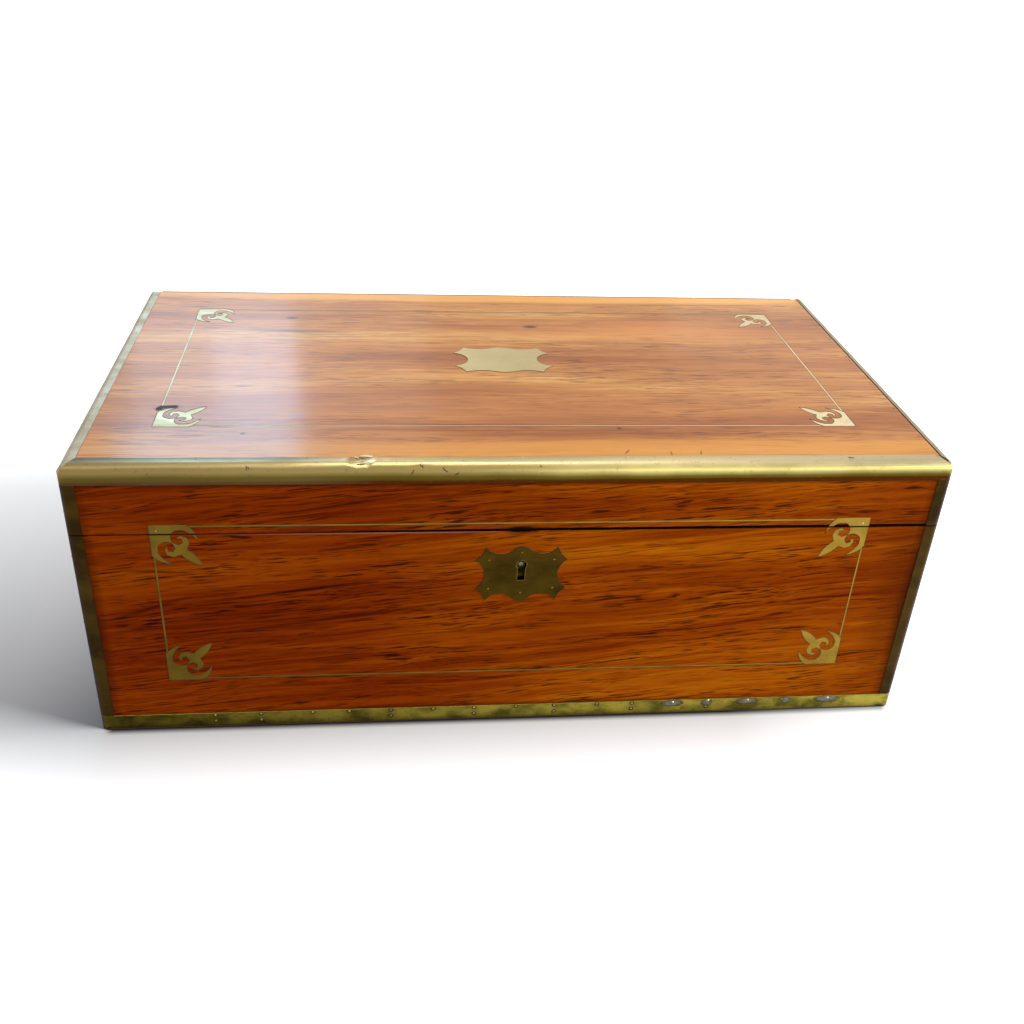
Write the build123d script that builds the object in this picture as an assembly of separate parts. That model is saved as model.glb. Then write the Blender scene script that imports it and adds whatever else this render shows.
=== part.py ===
from build123d import *
import os
from math import atan2, cos, sin, tan

# Brass-bound writing slope, closed. Millimetres, X to the right, Y to the back, Z up. The lock side
# is the front. The origin is the middle of the footprint, on the surface that the case stands on.

# Case
width = 512.0
depth = 286.0
height = 184.0
lid_front = 41.8  # from the top down to the opening joint, on the front face
rim_gap = 0.8  # between the two rims, closed
wall = 12.0
floor_board = 8.0
top_board = 8.0
corner_radius = 4.5
back_edge_radius = 2.0

# Brass edging
brass = 1.2
proud = 0.3  # how far brass stands out of the wood
nosing_radius = 8.5
nosing_top = 13.5
nosing_drop = 10.0
end_edging_top = 8.0
end_edging_radius = 4.0
strap_leg = 9.0
foot_edging_height = 11.0
foot_edging_under = 10.0

# Inlaid frames: scroll corners joined by stringing
inlay = 1.0
string_width = 1.1
string_inset = 1.2  # line centre, in from the outer edge of the scroll corners
scroll_straight = 21.5  # length of a scroll corner's straight edge
front_frame_ends = 45.0
front_frame_top = 35.5
front_frame_foot = 37.6
top_frame_ends = 42.0
top_frame_front = 52.6
top_frame_back = 37.4

# Plates
name_plate_half = (33.0, 21.3)
name_plate_curves = (0.72, 0.86, 0.94)  # shares of the half sizes: waist, scallops, shoulders
name_plate_y = 12.6
lock_x = 1.2
escutcheon_half = (27.2, 19.2)
escutcheon_curves = (0.8, 0.72, 0.87)
escutcheon_below = 30.4  # middle of the plate, below the joint
keyhole_below = 23.9  # middle of the keyhole's round head, below the joint
keyhole_radius = 3.3
keyhole_slot = 4.8
keyhole_length = 11.0

# Lock, let into the front board from inside
lock_half = 26.0
lock_below = 39.2  # foot of the lock, below the joint
lock_depth = 8.0
lock_sheet = 1.2
selvedge = 2.0
selvedge_reach = 6.0  # past the lock case on each side
drill_pin_radius = 1.4
drill_pin_length = 8.0
link_half = 1.8
hook_pitch = 20.0
hook_stem = 2.5
hook_nib = 3.0
hook_thickness = 2.4
hook_drop = 9.0
hook_play = 0.5
bolt_gap = 1.5  # between nibs, unlocked
bolt_bar = 3.5
bolt_tail = 5.0
bolt_shelf = 1.6
bolt_clear = 0.2

# Butt hinges of the lid
hinge_offset = 0.5  # axis behind the back face
hinge_x = 150.0
hinge_length = 60.0
hinge_leaf = 1.6
hinge_leaf_width = 10.5
hinge_leaf_gap = 0.2  # leaf to the middle of the joint
knuckle_radius = 3.0
hinge_pin_radius = 1.2
knuckles = 3
knuckle_gap = 0.1
running_clear = 0.05
relief = 0.3

# Writing flaps and their hinges
flap_sink = 1.6  # flap face below the middle of the joint
flap_thickness = 7.0
flap_clear = 0.8
flap_seat_gap = 0.2
leather = 1.0
leather_border = 14.0
ledger_width = 8.0
ledger_height = 10.0
flap_rail = 14.0
flap_seam = 0.5
flap_hinge_length = 300.0
flap_leaf = 0.8
flap_leaf_width = 8.0
flap_knuckle_radius = 1.3
flap_pin_radius = 0.6

# Ink and pen section behind the front board
section_depth = 53.7
rail_board = 8.0
rail_lip = 4.0
well_width = 52.0
divider = 6.0
well_floor_below = 70.2  # below the joint on the front face
well_floor_board = 6.0
tray_below = 20.2  # top of the pen tray, below the joint on the front face
tray_thickness = 22.0
trough_radius = 24.0
trough_depth = 16.0
trough_end = 14.0  # wood left at each end of the trough
bottle_side = 42.0
bottle_height = 36.0
bottle_corner = 5.0
ink_radius = 13.0
ink_floor = 8.0
cap_height = 9.0
cap_edge = 3.0

# Flush carrying handles
handle_z = 58.0
plate_length = 96.0
plate_height = 40.0
pan_length = 80.0
pan_height = 27.0
pan_depth = 7.0
pan_sheet = 1.2
bail_axis_up = 7.0  # bail axis above the middle of the plate
bail_axis_in = 3.6  # and in from the face of the plate
bail_half = 34.0
bail_drop = 14.0
bail_section = 4.6
bail_corner = 3.0
bail_pin_radius = 1.5
grip_half = 20.0
grip_swell = 3.2  # half height of the swelling in the middle of the bail

# Worked-out places
face_x = width / 2 - proud  # faces of the wood
face_y = depth / 2 - proud
face_z = height - proud
inside_x = face_x - wall
inside_y = face_y - wall
axis_y = depth / 2 + hinge_offset
axis_z = height / 2
split_front = height - lid_front
escutcheon_z = split_front - escutcheon_below
keyhole_z = split_front - keyhole_below
lock_foot_z = split_front - lock_below
tray_top_z = split_front - tray_below
well_floor_z = split_front - well_floor_below
slope_angle = atan2(split_front - axis_z, axis_y + depth / 2)
slope = Plane(
    origin=(0, axis_y, axis_z),
    x_dir=(1, 0, 0),
    z_dir=(0, sin(slope_angle), cos(slope_angle)),
)  # middle of the joint: local Y runs down to the hinge axis at 0, local Z out of the case
front_face = Plane(origin=(0, -face_y, 0), x_dir=(1, 0, 0), z_dir=(0, -1, 0))
top_face = Plane.XY.offset(face_z)
rim = rim_gap / 2
reach = width + depth + height
CASE, LID = -1, 1

rail_front = -inside_y + section_depth
rail_back = rail_front + rail_board
lock_front = -inside_y - lock_depth
lock_back = -inside_y - lock_sheet
flap_axis = (inside_y - axis_y) / cos(slope_angle) - flap_rail - flap_seam / 2
flap_bed = flap_sink + flap_thickness + flap_seat_gap

parts = {}


def keep(name, *pieces):
    """Stores the solids of one named sub-part."""
    parts[name] = Compound([solid for piece in pieces for solid in piece.solids()])


def block(x, y, z):
    """Rectangular block from its (low, high) limits."""
    (x0, x1), (y0, y1), (z0, z1) = (sorted(limits) for limits in (x, y, z))
    return Pos((x0 + x1) / 2, (y0 + y1) / 2, (z0 + z1) / 2) * Box(x1 - x0, y1 - y0, z1 - z0)


def bar(radius, x0, x1):
    """Round bar along X."""
    return Pos((x0 + x1) / 2, 0, 0) * Rot(0, 90, 0) * Cylinder(radius, abs(x1 - x0))


def along_slope(y):
    """Distance down the slope, from the lid's axis to a height line at y."""
    return (y - axis_y) / cos(slope_angle)


def beyond(side, offset):
    """Everything on one side of the joint, from offset outwards."""
    limits = (-reach, reach)
    return slope * block(limits, limits, (side * offset, side * reach))


def arch(span, foot, top, left_radius, right_radius):
    """Upright rectangle with its two top corners rounded."""
    half = span / 2
    outline = Polyline((-half, top - left_radius), (-half, foot), (half, foot), (half, top - right_radius))
    outline += CenterArc((half - right_radius, top - right_radius), right_radius, 0, 90)
    outline += Line((half - right_radius, top), (left_radius - half, top))
    outline += CenterArc((left_radius - half, top - left_radius), left_radius, 90, 90)
    return make_face(outline)


def case_form(inset, foot):
    """The closed case as one solid, with its faces moved in by inset."""
    span_x = width - 2 * inset
    span_y = depth - 2 * inset
    top = height - inset
    plan = Pos(0, 0, foot) * extrude(RectangleRounded(span_x, span_y, corner_radius - inset), top - foot)
    ends = end_edging_radius - inset
    front = arch(span_x, foot, top, ends, ends)
    side = arch(span_y, foot, top, nosing_radius - inset, back_edge_radius - inset)
    front_prism = extrude(Plane.XZ * front, depth, both=True)
    side_prism = extrude(Plane.YZ * side, width, both=True)
    return plan & front_prism & side_prism


def ring_side(number, span_x, span_y, inset_x, inset_y, foot, top):
    """Prism over one mitred side of a rectangular ring: 0 front, 1 right, 2 back, 3 left."""
    turns = [(-1, -1), (1, -1), (1, 1), (-1, 1)]
    outer = [(x * span_x / 2, y * span_y / 2) for x, y in turns]
    inner = [(x * (span_x / 2 - inset_x), y * (span_y / 2 - inset_y)) for x, y in turns]
    after = (number + 1) % 4
    outline = Polyline(outer[number], outer[after], inner[after], inner[number], close=True)
    return Pos(0, 0, foot) * extrude(make_face(outline), top - foot)


def scroll_corner():
    """Pierced corner inlay: a square corner with two hooked legs, two scrolls and a leaf."""
    half = [
        [(0, 0), (20.5, 0)],
        [(20.5, 0), (24.7, 4.7), (26.5, 10.8)],
        [(26.5, 10.8), (22.9, 6.4), (18.6, 3.7)],
        [(18.6, 3.7), (14.6, 3.8)],
        [(14.6, 3.8), (11.6, 7.4), (12.4, 12.0)],
        [(12.4, 12.0), (15.4, 13.4)],
        [(15.4, 13.4), (18.0, 12.0)],
        [(18.0, 12.0), (17.4, 9.4)],
        [(17.4, 9.4), (14.2, 8.9)],
        [(14.2, 8.9), (17.0, 7.2)],
        [(17.0, 7.2), (20.4, 8.6)],
        [(20.4, 8.6), (21.7, 12.0)],
        [(21.7, 12.0), (20.0, 16.4)],
        [(20.0, 16.4), (24.9, 21.3), (27.8, 27.8)],
    ]
    mirrored = [[(y, x) for x, y in points] for points in half]
    curves = {2: Line, 3: ThreePointArc}
    return make_face([curves[len(points)](*points) for points in half + mirrored])


def scroll_frame(half_x, low, high):
    """Four scroll corners and the stringing between them, as two flat sketches."""
    places = [(-half_x, low), (half_x, low), (half_x, high), (-half_x, high)]
    corners = [Pos(*place) * Rot(0, 0, 90 * turn) * scroll_corner() for turn, place in enumerate(places)]
    middle = Pos(0, (low + high) / 2)
    spans = 2 * half_x, high - low
    lines = middle * Rectangle(*(span - 2 * string_inset + string_width for span in spans))
    lines -= middle * Rectangle(*(span - 2 * string_inset - string_width for span in spans))
    lines -= [Pos(*place) * Rectangle(2 * scroll_straight, 2 * scroll_straight) for place in places]
    return corners, (lines - corners).faces()


def cartouche(half_width, half_height, waist, scallop, shoulder):
    """Plate outline with hollow sides, two horns at each corner and a swelling top and bottom."""
    edges = []
    for x in (-half_width, half_width):
        edges.append(ThreePointArc((x, -0.52 * half_height), (waist * x, 0), (x, 0.52 * half_height)))
        for y in (-half_height, half_height):
            horn = (0.78 * x, 0.97 * y)
            edges.append(Polyline((x, 0.52 * y), (0.865 * x, 0.7 * y), horn))
            edges.append(ThreePointArc(horn, (0.45 * x, scallop * y), (0.19 * x, shoulder * y)))
    for y in (-half_height, half_height):
        edge = 0.19 * half_width
        edges.append(ThreePointArc((-edge, shoulder * y), (0, y), (edge, shoulder * y)))
    return make_face(edges)


def keyhole():
    """Round head over a slot, cut through everything in front of the lock."""
    slot = Pos(lock_x, keyhole_z - keyhole_length / 2) * Rectangle(keyhole_slot, keyhole_length)
    outline = Pos(lock_x, keyhole_z) * Circle(keyhole_radius) + slot
    start = depth / 2 + proud
    return extrude(Plane.XZ.offset(start) * outline, -(start + lock_front + lock_sheet))


def hook_outline(x, turn):
    """Seen along the slope: a hook that hangs from the link plate (turn 1), with its nib to the right, or
    a finger that stands on the bolt (turn -1), with its nib to the left."""
    stem = x + turn * hook_stem
    nib = stem + turn * hook_nib
    if turn > 0:
        root, tip = rim, -hook_drop
    else:
        root, tip = -hook_drop - bolt_gap, -hook_drop + 2 * hook_stem + hook_play
    inner = tip + turn * hook_stem
    corners = [(x, root), (x, tip), (nib, tip), (nib, inner), (stem, inner), (stem, root)]
    return make_face(Polyline(*corners, close=True))


def butt_hinge_half(side, x):
    """Leaf and knuckles of one lid hinge in the slope's frame; the case's half carries the pin."""
    start = x - hinge_length / 2
    step = hinge_length / knuckles
    near = hinge_leaf_gap
    sheet = side * near, side * (near + hinge_leaf)
    leaf = block((start, start + hinge_length), (-hinge_leaf_width, 0), sheet)
    own = range(0, knuckles, 2) if side == CASE else range(1, knuckles, 2)
    for number in range(knuckles):
        ends = start + number * step, start + (number + 1) * step
        if number in own:
            leaf += bar(knuckle_radius, ends[0] + knuckle_gap, ends[1] - knuckle_gap)
        else:
            leaf -= bar(knuckle_radius + relief, ends[0] - knuckle_gap, ends[1] + knuckle_gap)
    pin_ends = start + knuckle_gap, start + hinge_length - knuckle_gap
    if side == CASE:
        return leaf + bar(hinge_pin_radius, *pin_ends)
    return leaf - bar(hinge_pin_radius + running_clear, *pin_ends)


def flap_hinge_half(side, moving):
    """Leaf and barrels of a flap's long hinge; the fixed half carries the pin. Frame: the flap's axis."""
    start, third = -flap_hinge_length / 2, flap_hinge_length / 3
    middle = start + third, start + 2 * third
    outer = [(start, middle[0] - knuckle_gap), (middle[1] + knuckle_gap, start + 3 * third)]
    away = -flap_leaf_width if moving else flap_leaf_width
    leaf = block((start, start + 3 * third), (away, 0), (0, side * flap_leaf))
    cut_radius = flap_knuckle_radius + relief
    if moving:
        leaf -= [bar(cut_radius, low - knuckle_gap, high + knuckle_gap) for low, high in outer]
        leaf += bar(flap_knuckle_radius, *middle)
        return leaf - bar(flap_pin_radius + running_clear, *middle)
    leaf -= bar(cut_radius, middle[0] - knuckle_gap, middle[1] + knuckle_gap)
    leaf += bar(flap_pin_radius, start, start + 3 * third)
    return leaf + [bar(flap_knuckle_radius, *ends) for ends in outer]


# Forms that the wood and the brass share
outer_form = case_form(0, 0)
core_form = case_form(brass, brass)
brass_skin = outer_form - core_form
case_half = beyond(CASE, rim)
lid_half = beyond(LID, rim)
edge_z = height - nosing_drop

foot_zones = [
    ring_side(number, width, depth, foot_edging_under, foot_edging_under, 0, foot_edging_height)
    for number in range(4)
]
nosing_zone = ring_side(0, width, depth, end_edging_top, nosing_top, edge_z, height)
end_zones = [
    block((side * width / 2, side * (width / 2 - end_edging_top)), (-depth / 2, depth / 2), (edge_z, height))
    - nosing_zone
    for side in (-1, 1)
]
strap_zones = {
    (x, y): block(
        (x * width / 2, x * (width / 2 - strap_leg)),
        (y * depth / 2, y * (depth / 2 - strap_leg)),
        (foot_edging_height, edge_z),
    )
    for x in (-1, 1)
    for y in (-1, 1)
}
foot_hollow = block(
    (foot_edging_under - width / 2, width / 2 - foot_edging_under),
    (foot_edging_under - depth / 2, depth / 2 - foot_edging_under),
    (0, brass),
)
zones = [*foot_zones, nosing_zone, *end_zones, *strap_zones.values()]
carcase = case_form(proud, 0) - [zone - core_form for zone in zones]

# Brass edging
for zone, side in zip(foot_zones, ("front", "right", "back", "left")):
    keep(f"foot_edging_{side}", (brass_skin & zone) - foot_hollow)
keep("lid_front_nosing", brass_skin & nosing_zone)
keep("lid_end_edging", *(brass_skin & zone for zone in end_zones))
for y, name in ((-1, "front"), (1, "back")):
    straps = [brass_skin & strap_zones[x, y] for x in (-1, 1)]
    keep(f"base_{name}_straps", *(strap & case_half for strap in straps))
    keep(f"lid_{name}_straps", *(strap & lid_half for strap in straps))

# Inlaid frames
front_corners, front_lines = scroll_frame(
    width / 2 - front_frame_ends, front_frame_foot, height - front_frame_top
)
front_corners = [extrude(front_face * corner, -inlay) for corner in front_corners]
front_lines = [extrude(front_face * line, -inlay) for line in front_lines]
keep("base_corner_inlays", *(corner & case_half for corner in front_corners))
keep("lid_corner_inlays", *(corner & lid_half for corner in front_corners[2:]))
keep("base_stringing", *(line for line in front_lines if line.center().Z < split_front))
keep("lid_stringing", *(line for line in front_lines if line.center().Z > split_front))
top_corners, top_lines = scroll_frame(
    width / 2 - top_frame_ends, top_frame_front - depth / 2, depth / 2 - top_frame_back
)
top_corners = [extrude(top_face * corner, -inlay) for corner in top_corners]
top_lines = [extrude(top_face * line, -inlay) for line in top_lines]
keep("top_corner_inlays", *top_corners)
keep("top_stringing", *top_lines)
name_plate_face = cartouche(*name_plate_half, *name_plate_curves)
name_plate = Pos(lock_x, name_plate_y, height - brass) * extrude(name_plate_face, brass)
keep("name_plate", name_plate)
escutcheon_face = cartouche(*escutcheon_half, *escutcheon_curves)
escutcheon_blank = extrude(
    Plane.XZ.offset(depth / 2) * Pos(lock_x, escutcheon_z) * escutcheon_face, -brass
)
keep("escutcheon", escutcheon_blank - keyhole())

# Lock: a sheet brass case with a sloping selvedge, a bolt with two fingers and a drill pin
lock_span = lock_x - lock_half, lock_x + lock_half
lock_body = block(lock_span, (lock_front, lock_back), (lock_foot_z, height)) & beyond(CASE, rim + selvedge)
lock_room = block(
    (lock_span[0] + lock_sheet, lock_span[1] - lock_sheet),
    (lock_front + lock_sheet, lock_back),
    (lock_foot_z + lock_sheet, height),
)
cap_plate = block(lock_span, (lock_back, -inside_y), (lock_foot_z, height)) & beyond(CASE, rim + selvedge)
selvedge_ends = lock_span[0] - selvedge_reach, lock_span[1] + selvedge_reach
selvedge_blank = block(selvedge_ends, (lock_front - lock_sheet, -inside_y), (lock_foot_z, height))
selvedge_blank &= case_half
selvedge_blank -= beyond(CASE, rim + selvedge)
lock_middle = along_slope((lock_front + lock_sheet + lock_back) / 2) + hook_drop * tan(slope_angle)
hook_places = [lock_x - hook_pitch / 2 + number * hook_pitch - hook_stem for number in range(2)]
finger_places = [place + 2 * (hook_stem + hook_nib) + bolt_gap for place in hook_places]
hook_slots = [
    slope
    * block(
        (place - hook_play, place + hook_stem + hook_nib + hook_play),
        (lock_middle - hook_thickness / 2 - hook_play, lock_middle + hook_thickness / 2 + hook_play),
        (-rim - selvedge, -rim),
    )
    for place in hook_places
]
bar_top = -hook_drop - bolt_gap
bar_ends = hook_places[0] - bolt_tail, finger_places[1]
bolt_bar_solid = block(
    bar_ends,
    (lock_middle - hook_thickness / 2, lock_middle + hook_thickness / 2),
    (bar_top - bolt_bar, bar_top),
)
shelf = slope * block(
    (lock_span[0] + lock_sheet / 2, lock_span[1] - lock_sheet / 2),
    (along_slope(lock_front), lock_middle + hook_thickness / 2),
    (bar_top - bolt_bar - bolt_clear - bolt_shelf, bar_top - bolt_bar - bolt_clear),
)
hook_plane = slope * Pos(0, lock_middle + hook_thickness / 2, 0) * Rot(90, 0, 0)
fingers = [extrude(hook_plane * hook_outline(place, -1), hook_thickness) for place in finger_places]
hooks = [extrude(hook_plane * hook_outline(place, 1), hook_thickness) for place in hook_places]
link_blank = slope * block(
    (lock_span[0], lock_span[1]),
    (lock_middle - link_half, lock_middle + link_half),
    (rim, rim + selvedge),
)
keep("lock_case", ((lock_body - lock_room) + (shelf & lock_room)) - keyhole())
keep("lock_cap_plate", cap_plate)
keep("lock_selvedge", selvedge_blank - hook_slots)
keep("lock_bolt", slope * bolt_bar_solid + fingers)
keep("link_plate", link_blank + hooks)
drill_pin = Pos(lock_x, lock_back - drill_pin_length / 2, keyhole_z - keyhole_radius / 3)
keep("lock_drill_pin", drill_pin * Rot(90, 0, 0) * Cylinder(drill_pin_radius, drill_pin_length))

# Lid hinges
hinge_places = (-hinge_x, hinge_x)
case_leaves = [slope * butt_hinge_half(CASE, x) for x in hinge_places]
lid_leaves = [slope * butt_hinge_half(LID, x) for x in hinge_places]
knuckle_reliefs = [
    slope * bar(knuckle_radius + relief, x - hinge_length / 2 - relief, x + hinge_length / 2 + relief)
    for x in hinge_places
]
keep("base_hinge_leaves", *case_leaves)
keep("lid_hinge_leaves", *lid_leaves)

# Flush carrying handles, made for the right end and mirrored for the left
handle_plane = Plane(origin=(width / 2, 0, handle_z), x_dir=(0, 1, 0), z_dir=(1, 0, 0))
pan_outer = extrude(handle_plane * Rectangle(pan_length, pan_height), -pan_depth - pan_sheet)
pan_inner = extrude(
    handle_plane * Rectangle(pan_length - 2 * pan_sheet, pan_height - 2 * pan_sheet), -pan_depth
)
handle_flange = extrude(handle_plane * Rectangle(plate_length, plate_height), -brass)
bail_axis = Pos(width / 2 - bail_axis_in, 0, handle_z + bail_axis_up)
pin_bore = bail_axis * Rot(90, 0, 0) * Cylinder(bail_pin_radius + running_clear, pan_length)
handle_plate = (handle_flange + pan_outer) - pan_inner - pin_bore
outer = bail_half + bail_section / 2
inner = bail_half - bail_section / 2
foot = bail_drop + bail_section / 2
bail_side = [
    (outer - bail_corner, foot),
    (outer, foot - bail_corner),
    (outer, -bail_section / 2),
    (inner, -bail_section / 2),
    (inner, foot - bail_section),
]
other_side = [(-y, drop) for y, drop in reversed(bail_side)]
bail_loop = make_face(Polyline(*bail_side, *other_side, close=True))
bail_loop += make_face(
    [
        ThreePointArc((-grip_half, bail_drop), (0, bail_drop + turn * grip_swell), (grip_half, bail_drop))
        for turn in (-1, 1)
    ]
)
bail = extrude(Plane.YZ * Rot(180, 0, 0) * bail_loop, bail_section / 2, both=True)
pin_reach = pan_length / 2 - running_clear
for turn in (-1, 1):
    pin_middle = turn * (bail_half + pin_reach) / 2
    bail += Pos(0, pin_middle, 0) * Rot(90, 0, 0) * Cylinder(bail_pin_radius, pin_reach - bail_half)
bail = bail_axis * bail
handle_pockets = [pan_outer, handle_flange]
for name, turned in (("right", False), ("left", True)):
    plate_solid = mirror(handle_plate, about=Plane.YZ) if turned else handle_plate
    bail_solid = mirror(bail, about=Plane.YZ) if turned else bail
    keep(f"{name}_handle_plate", plate_solid)
    keep(f"{name}_handle_bail", bail_solid)

# Boards of the case
board_z = {"base": (0, height), "lid": (0, face_z - top_board)}
halves = {"base": case_half, "lid": lid_half}
boards = {}
for part_name, half in halves.items():
    for number, side in enumerate(("front", "right", "back", "left")):
        region = ring_side(number, 2 * face_x, 2 * face_y, wall, wall, *board_z[part_name])
        boards[part_name, side] = carcase & region & half
lock_mortise = [lock_body, cap_plate, selvedge_blank]
front_inlays = [solid for name in ("base_corner_inlays", "base_stringing") for solid in parts[name].solids()]
lid_inlays = [solid for name in ("lid_corner_inlays", "lid_stringing") for solid in parts[name].solids()]
boards["base", "front"] -= [*front_inlays, escutcheon_blank, *lock_mortise]
boards["base", "front"] -= keyhole()
boards["lid", "front"] -= [*lid_inlays, link_blank]
boards["base", "back"] -= [*case_leaves, *knuckle_reliefs]
boards["lid", "back"] -= [*lid_leaves, *knuckle_reliefs]
boards["base", "right"] -= handle_pockets
boards["base", "left"] -= [mirror(pocket, about=Plane.YZ) for pocket in handle_pockets]
for (part_name, side), board in boards.items():
    keep(f"{part_name}_{side}_board", board)
inside_span = block((-inside_x, inside_x), (-inside_y, inside_y), (0, floor_board))
keep("bottom_board", carcase & inside_span)
top_slab = block((-face_x, face_x), (-face_y, face_y), (face_z - top_board, face_z))
keep("lid_top_board", (carcase & top_slab) - [*top_corners, *top_lines, name_plate])

# Ink and pen section: a rail across the case, dividers, a scooped pen tray and two ink wells
section = (-inside_y, rail_front)
under_flaps = beyond(CASE, flap_sink)
flap_front = along_slope(rail_front + rail_lip) + flap_clear
flap_space = slope * block((-reach, reach), (flap_front - flap_clear, 0), (-flap_bed, 0))
rail = block((-inside_x, inside_x), (rail_front, rail_back), (floor_board, height)) & under_flaps
keep("tray_rail", rail - flap_space)
divider_x = inside_x - well_width
keep(
    "tray_dividers",
    *(
        block((side * divider_x, side * (divider_x - divider)), section, (floor_board, height)) & under_flaps
        for side in (-1, 1)
    ),
)
tray_half = divider_x - divider
tray = block((-tray_half, tray_half), section, (tray_top_z - tray_thickness, tray_top_z))
trough_axis = Pos(0, sum(section) / 2, tray_top_z + trough_radius - trough_depth)
trough = bar(trough_radius, trough_end - tray_half, tray_half - trough_end)
keep("pen_tray", tray - trough_axis * trough)
well_x = inside_x - well_width / 2
keep(
    "ink_well_floors",
    *(
        block((side * inside_x, side * divider_x), section, (well_floor_z - well_floor_board, well_floor_z))
        for side in (-1, 1)
    ),
)
bottle_outline = chamfer(Rectangle(bottle_side, bottle_side).vertices(), bottle_corner)
bottle = extrude(bottle_outline, bottle_height)
bottle -= Pos(0, 0, ink_floor + bottle_height / 2) * Cylinder(ink_radius, bottle_height)
cap = Pos(0, 0, bottle_height) * extrude(bottle_outline, cap_height)
cap = chamfer(cap.faces().sort_by(Axis.Z)[-1].edges(), cap_edge)
bottle_places = [Pos(side * well_x, sum(section) / 2, well_floor_z) for side in (-1, 1)]
keep("ink_bottles", *(place * bottle for place in bottle_places))
keep("ink_bottle_caps", *(place * cap for place in bottle_places))

# Writing flaps: one over the case behind the rail, one over the whole lid
flap_half = inside_x - flap_clear
flap_frame = slope * Pos(0, flap_axis, 0)
inside_walls = block((-inside_x, inside_x), (-inside_y, inside_y), (0, height))
flap_starts = {CASE: flap_front, LID: along_slope(-inside_y) + flap_clear}
for side, name in ((CASE, "base"), (LID, "lid")):
    axis_place = flap_frame * Pos(0, 0, side * flap_sink)
    fixed = axis_place * flap_hinge_half(side, False)
    moving = axis_place * flap_hinge_half(side, True)
    groove_half = flap_hinge_length / 2 + relief
    groove = axis_place * bar(flap_knuckle_radius + relief, -groove_half, groove_half)
    start = flap_starts[side]
    end = flap_axis - flap_seam / 2
    faces = side * flap_sink, side * (flap_sink + flap_thickness)
    board = slope * block((-flap_half, flap_half), (start, end), faces)
    hide = slope * block(
        (leather_border - flap_half, flap_half - leather_border),
        (start + leather_border, end - leather_border),
        (side * flap_sink, side * (flap_sink + leather)),
    )
    keep(f"{name}_flap_board", board - [hide, groove, moving])
    keep(f"{name}_flap_leather", hide)
    keep(f"{name}_flap_hinge_leaves", fixed)
    keep(f"{name}_flap_moving_leaves", moving)
    hinge_rail = slope * block(
        (-inside_x, inside_x),
        (flap_axis + flap_seam / 2, 0),
        (side * flap_sink, side * (flap_bed + ledger_height)),
    )
    keep(f"{name}_flap_rail", (hinge_rail & inside_walls) - [groove, fixed])
    ledger_z = side * flap_bed, side * (flap_bed + ledger_height)
    ledger_end = flap_axis + flap_seam / 2
    runs = [
        slope * block((turn * inside_x, turn * (inside_x - ledger_width)), (-reach, ledger_end), ledger_z)
        for turn in (-1, 1)
    ]
    if side == LID:
        front_end = start - flap_clear + ledger_width
        front_run = slope * block((-inside_x, inside_x), (-reach, front_end), ledger_z)
        runs = [run - front_run for run in runs] + [front_run]
        keep("lid_flap_ledgers", *(run & inside_walls for run in runs))
    else:
        behind_rail = block((-inside_x, inside_x), (rail_back, inside_y), (0, height))
        keep("base_flap_ledgers", *(run & behind_rail for run in runs))

os.makedirs("parts", exist_ok=True)
for name, shape in parts.items():
    export_step(shape, f"parts/{name}.step")
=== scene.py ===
"""A brass-bound writing slope: finishes, fastenings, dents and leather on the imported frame."""

import math

import bmesh
import bpy
from mathutils import Matrix, Vector, noise


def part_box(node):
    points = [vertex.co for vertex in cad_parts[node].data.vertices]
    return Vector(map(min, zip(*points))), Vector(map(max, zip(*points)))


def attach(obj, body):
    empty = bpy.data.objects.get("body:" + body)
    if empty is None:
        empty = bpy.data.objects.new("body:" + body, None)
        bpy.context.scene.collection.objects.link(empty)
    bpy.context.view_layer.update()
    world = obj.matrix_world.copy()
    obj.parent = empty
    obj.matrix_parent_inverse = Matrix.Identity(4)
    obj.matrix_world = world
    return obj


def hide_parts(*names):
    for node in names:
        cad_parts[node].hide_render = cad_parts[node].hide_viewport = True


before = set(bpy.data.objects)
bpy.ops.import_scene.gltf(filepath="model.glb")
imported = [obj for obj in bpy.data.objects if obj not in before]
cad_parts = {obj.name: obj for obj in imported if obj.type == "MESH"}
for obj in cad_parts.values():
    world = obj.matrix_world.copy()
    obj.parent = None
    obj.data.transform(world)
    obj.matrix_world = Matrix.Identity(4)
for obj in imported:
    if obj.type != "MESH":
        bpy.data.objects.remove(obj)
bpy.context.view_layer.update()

MM = 0.001
WIDTH, DEPTH, HEIGHT = 512.0, 286.0, 184.0
FRONT, BACK, END = -DEPTH / 2, DEPTH / 2, WIDTH / 2
PROUD = 0.3  # brass above wood
BEND = 8.5  # radius of the nosing's bend
SLIP = 3.6  # width filed off the right-hand strip over the top
SPLIT_FRONT = 142.2  # height of the joint on the front face
LOCK_X = 1.2
KEYHOLE_Z = 118.3
ESCUTCHEON_Z = 111.8
FLAP_FACE = 1.6  # from the joint down to the face of a flap and its leather
FLAP_AXIS = -27.245  # pin of the flaps' hinges, along the joint
UP, OUT = (0, 0, 1), (0, -1, 0)
SLOPE_ANGLE = math.atan2(SPLIT_FRONT - HEIGHT / 2, DEPTH + 0.5)
SLOPE = Matrix.Translation((0, BACK + 0.5, HEIGHT / 2)) @ Matrix.Rotation(-SLOPE_ANGLE, 4, "X")


# ---- small tools


def linear(code, alpha=1.0):
    """Linear colour of an sRGB hex value."""
    channels = [int(code[place : place + 2], 16) / 255 for place in (1, 3, 5)]
    return [c / 12.92 if c <= 0.04045 else ((c + 0.055) / 1.055) ** 2.4 for c in channels] + [alpha]


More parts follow.
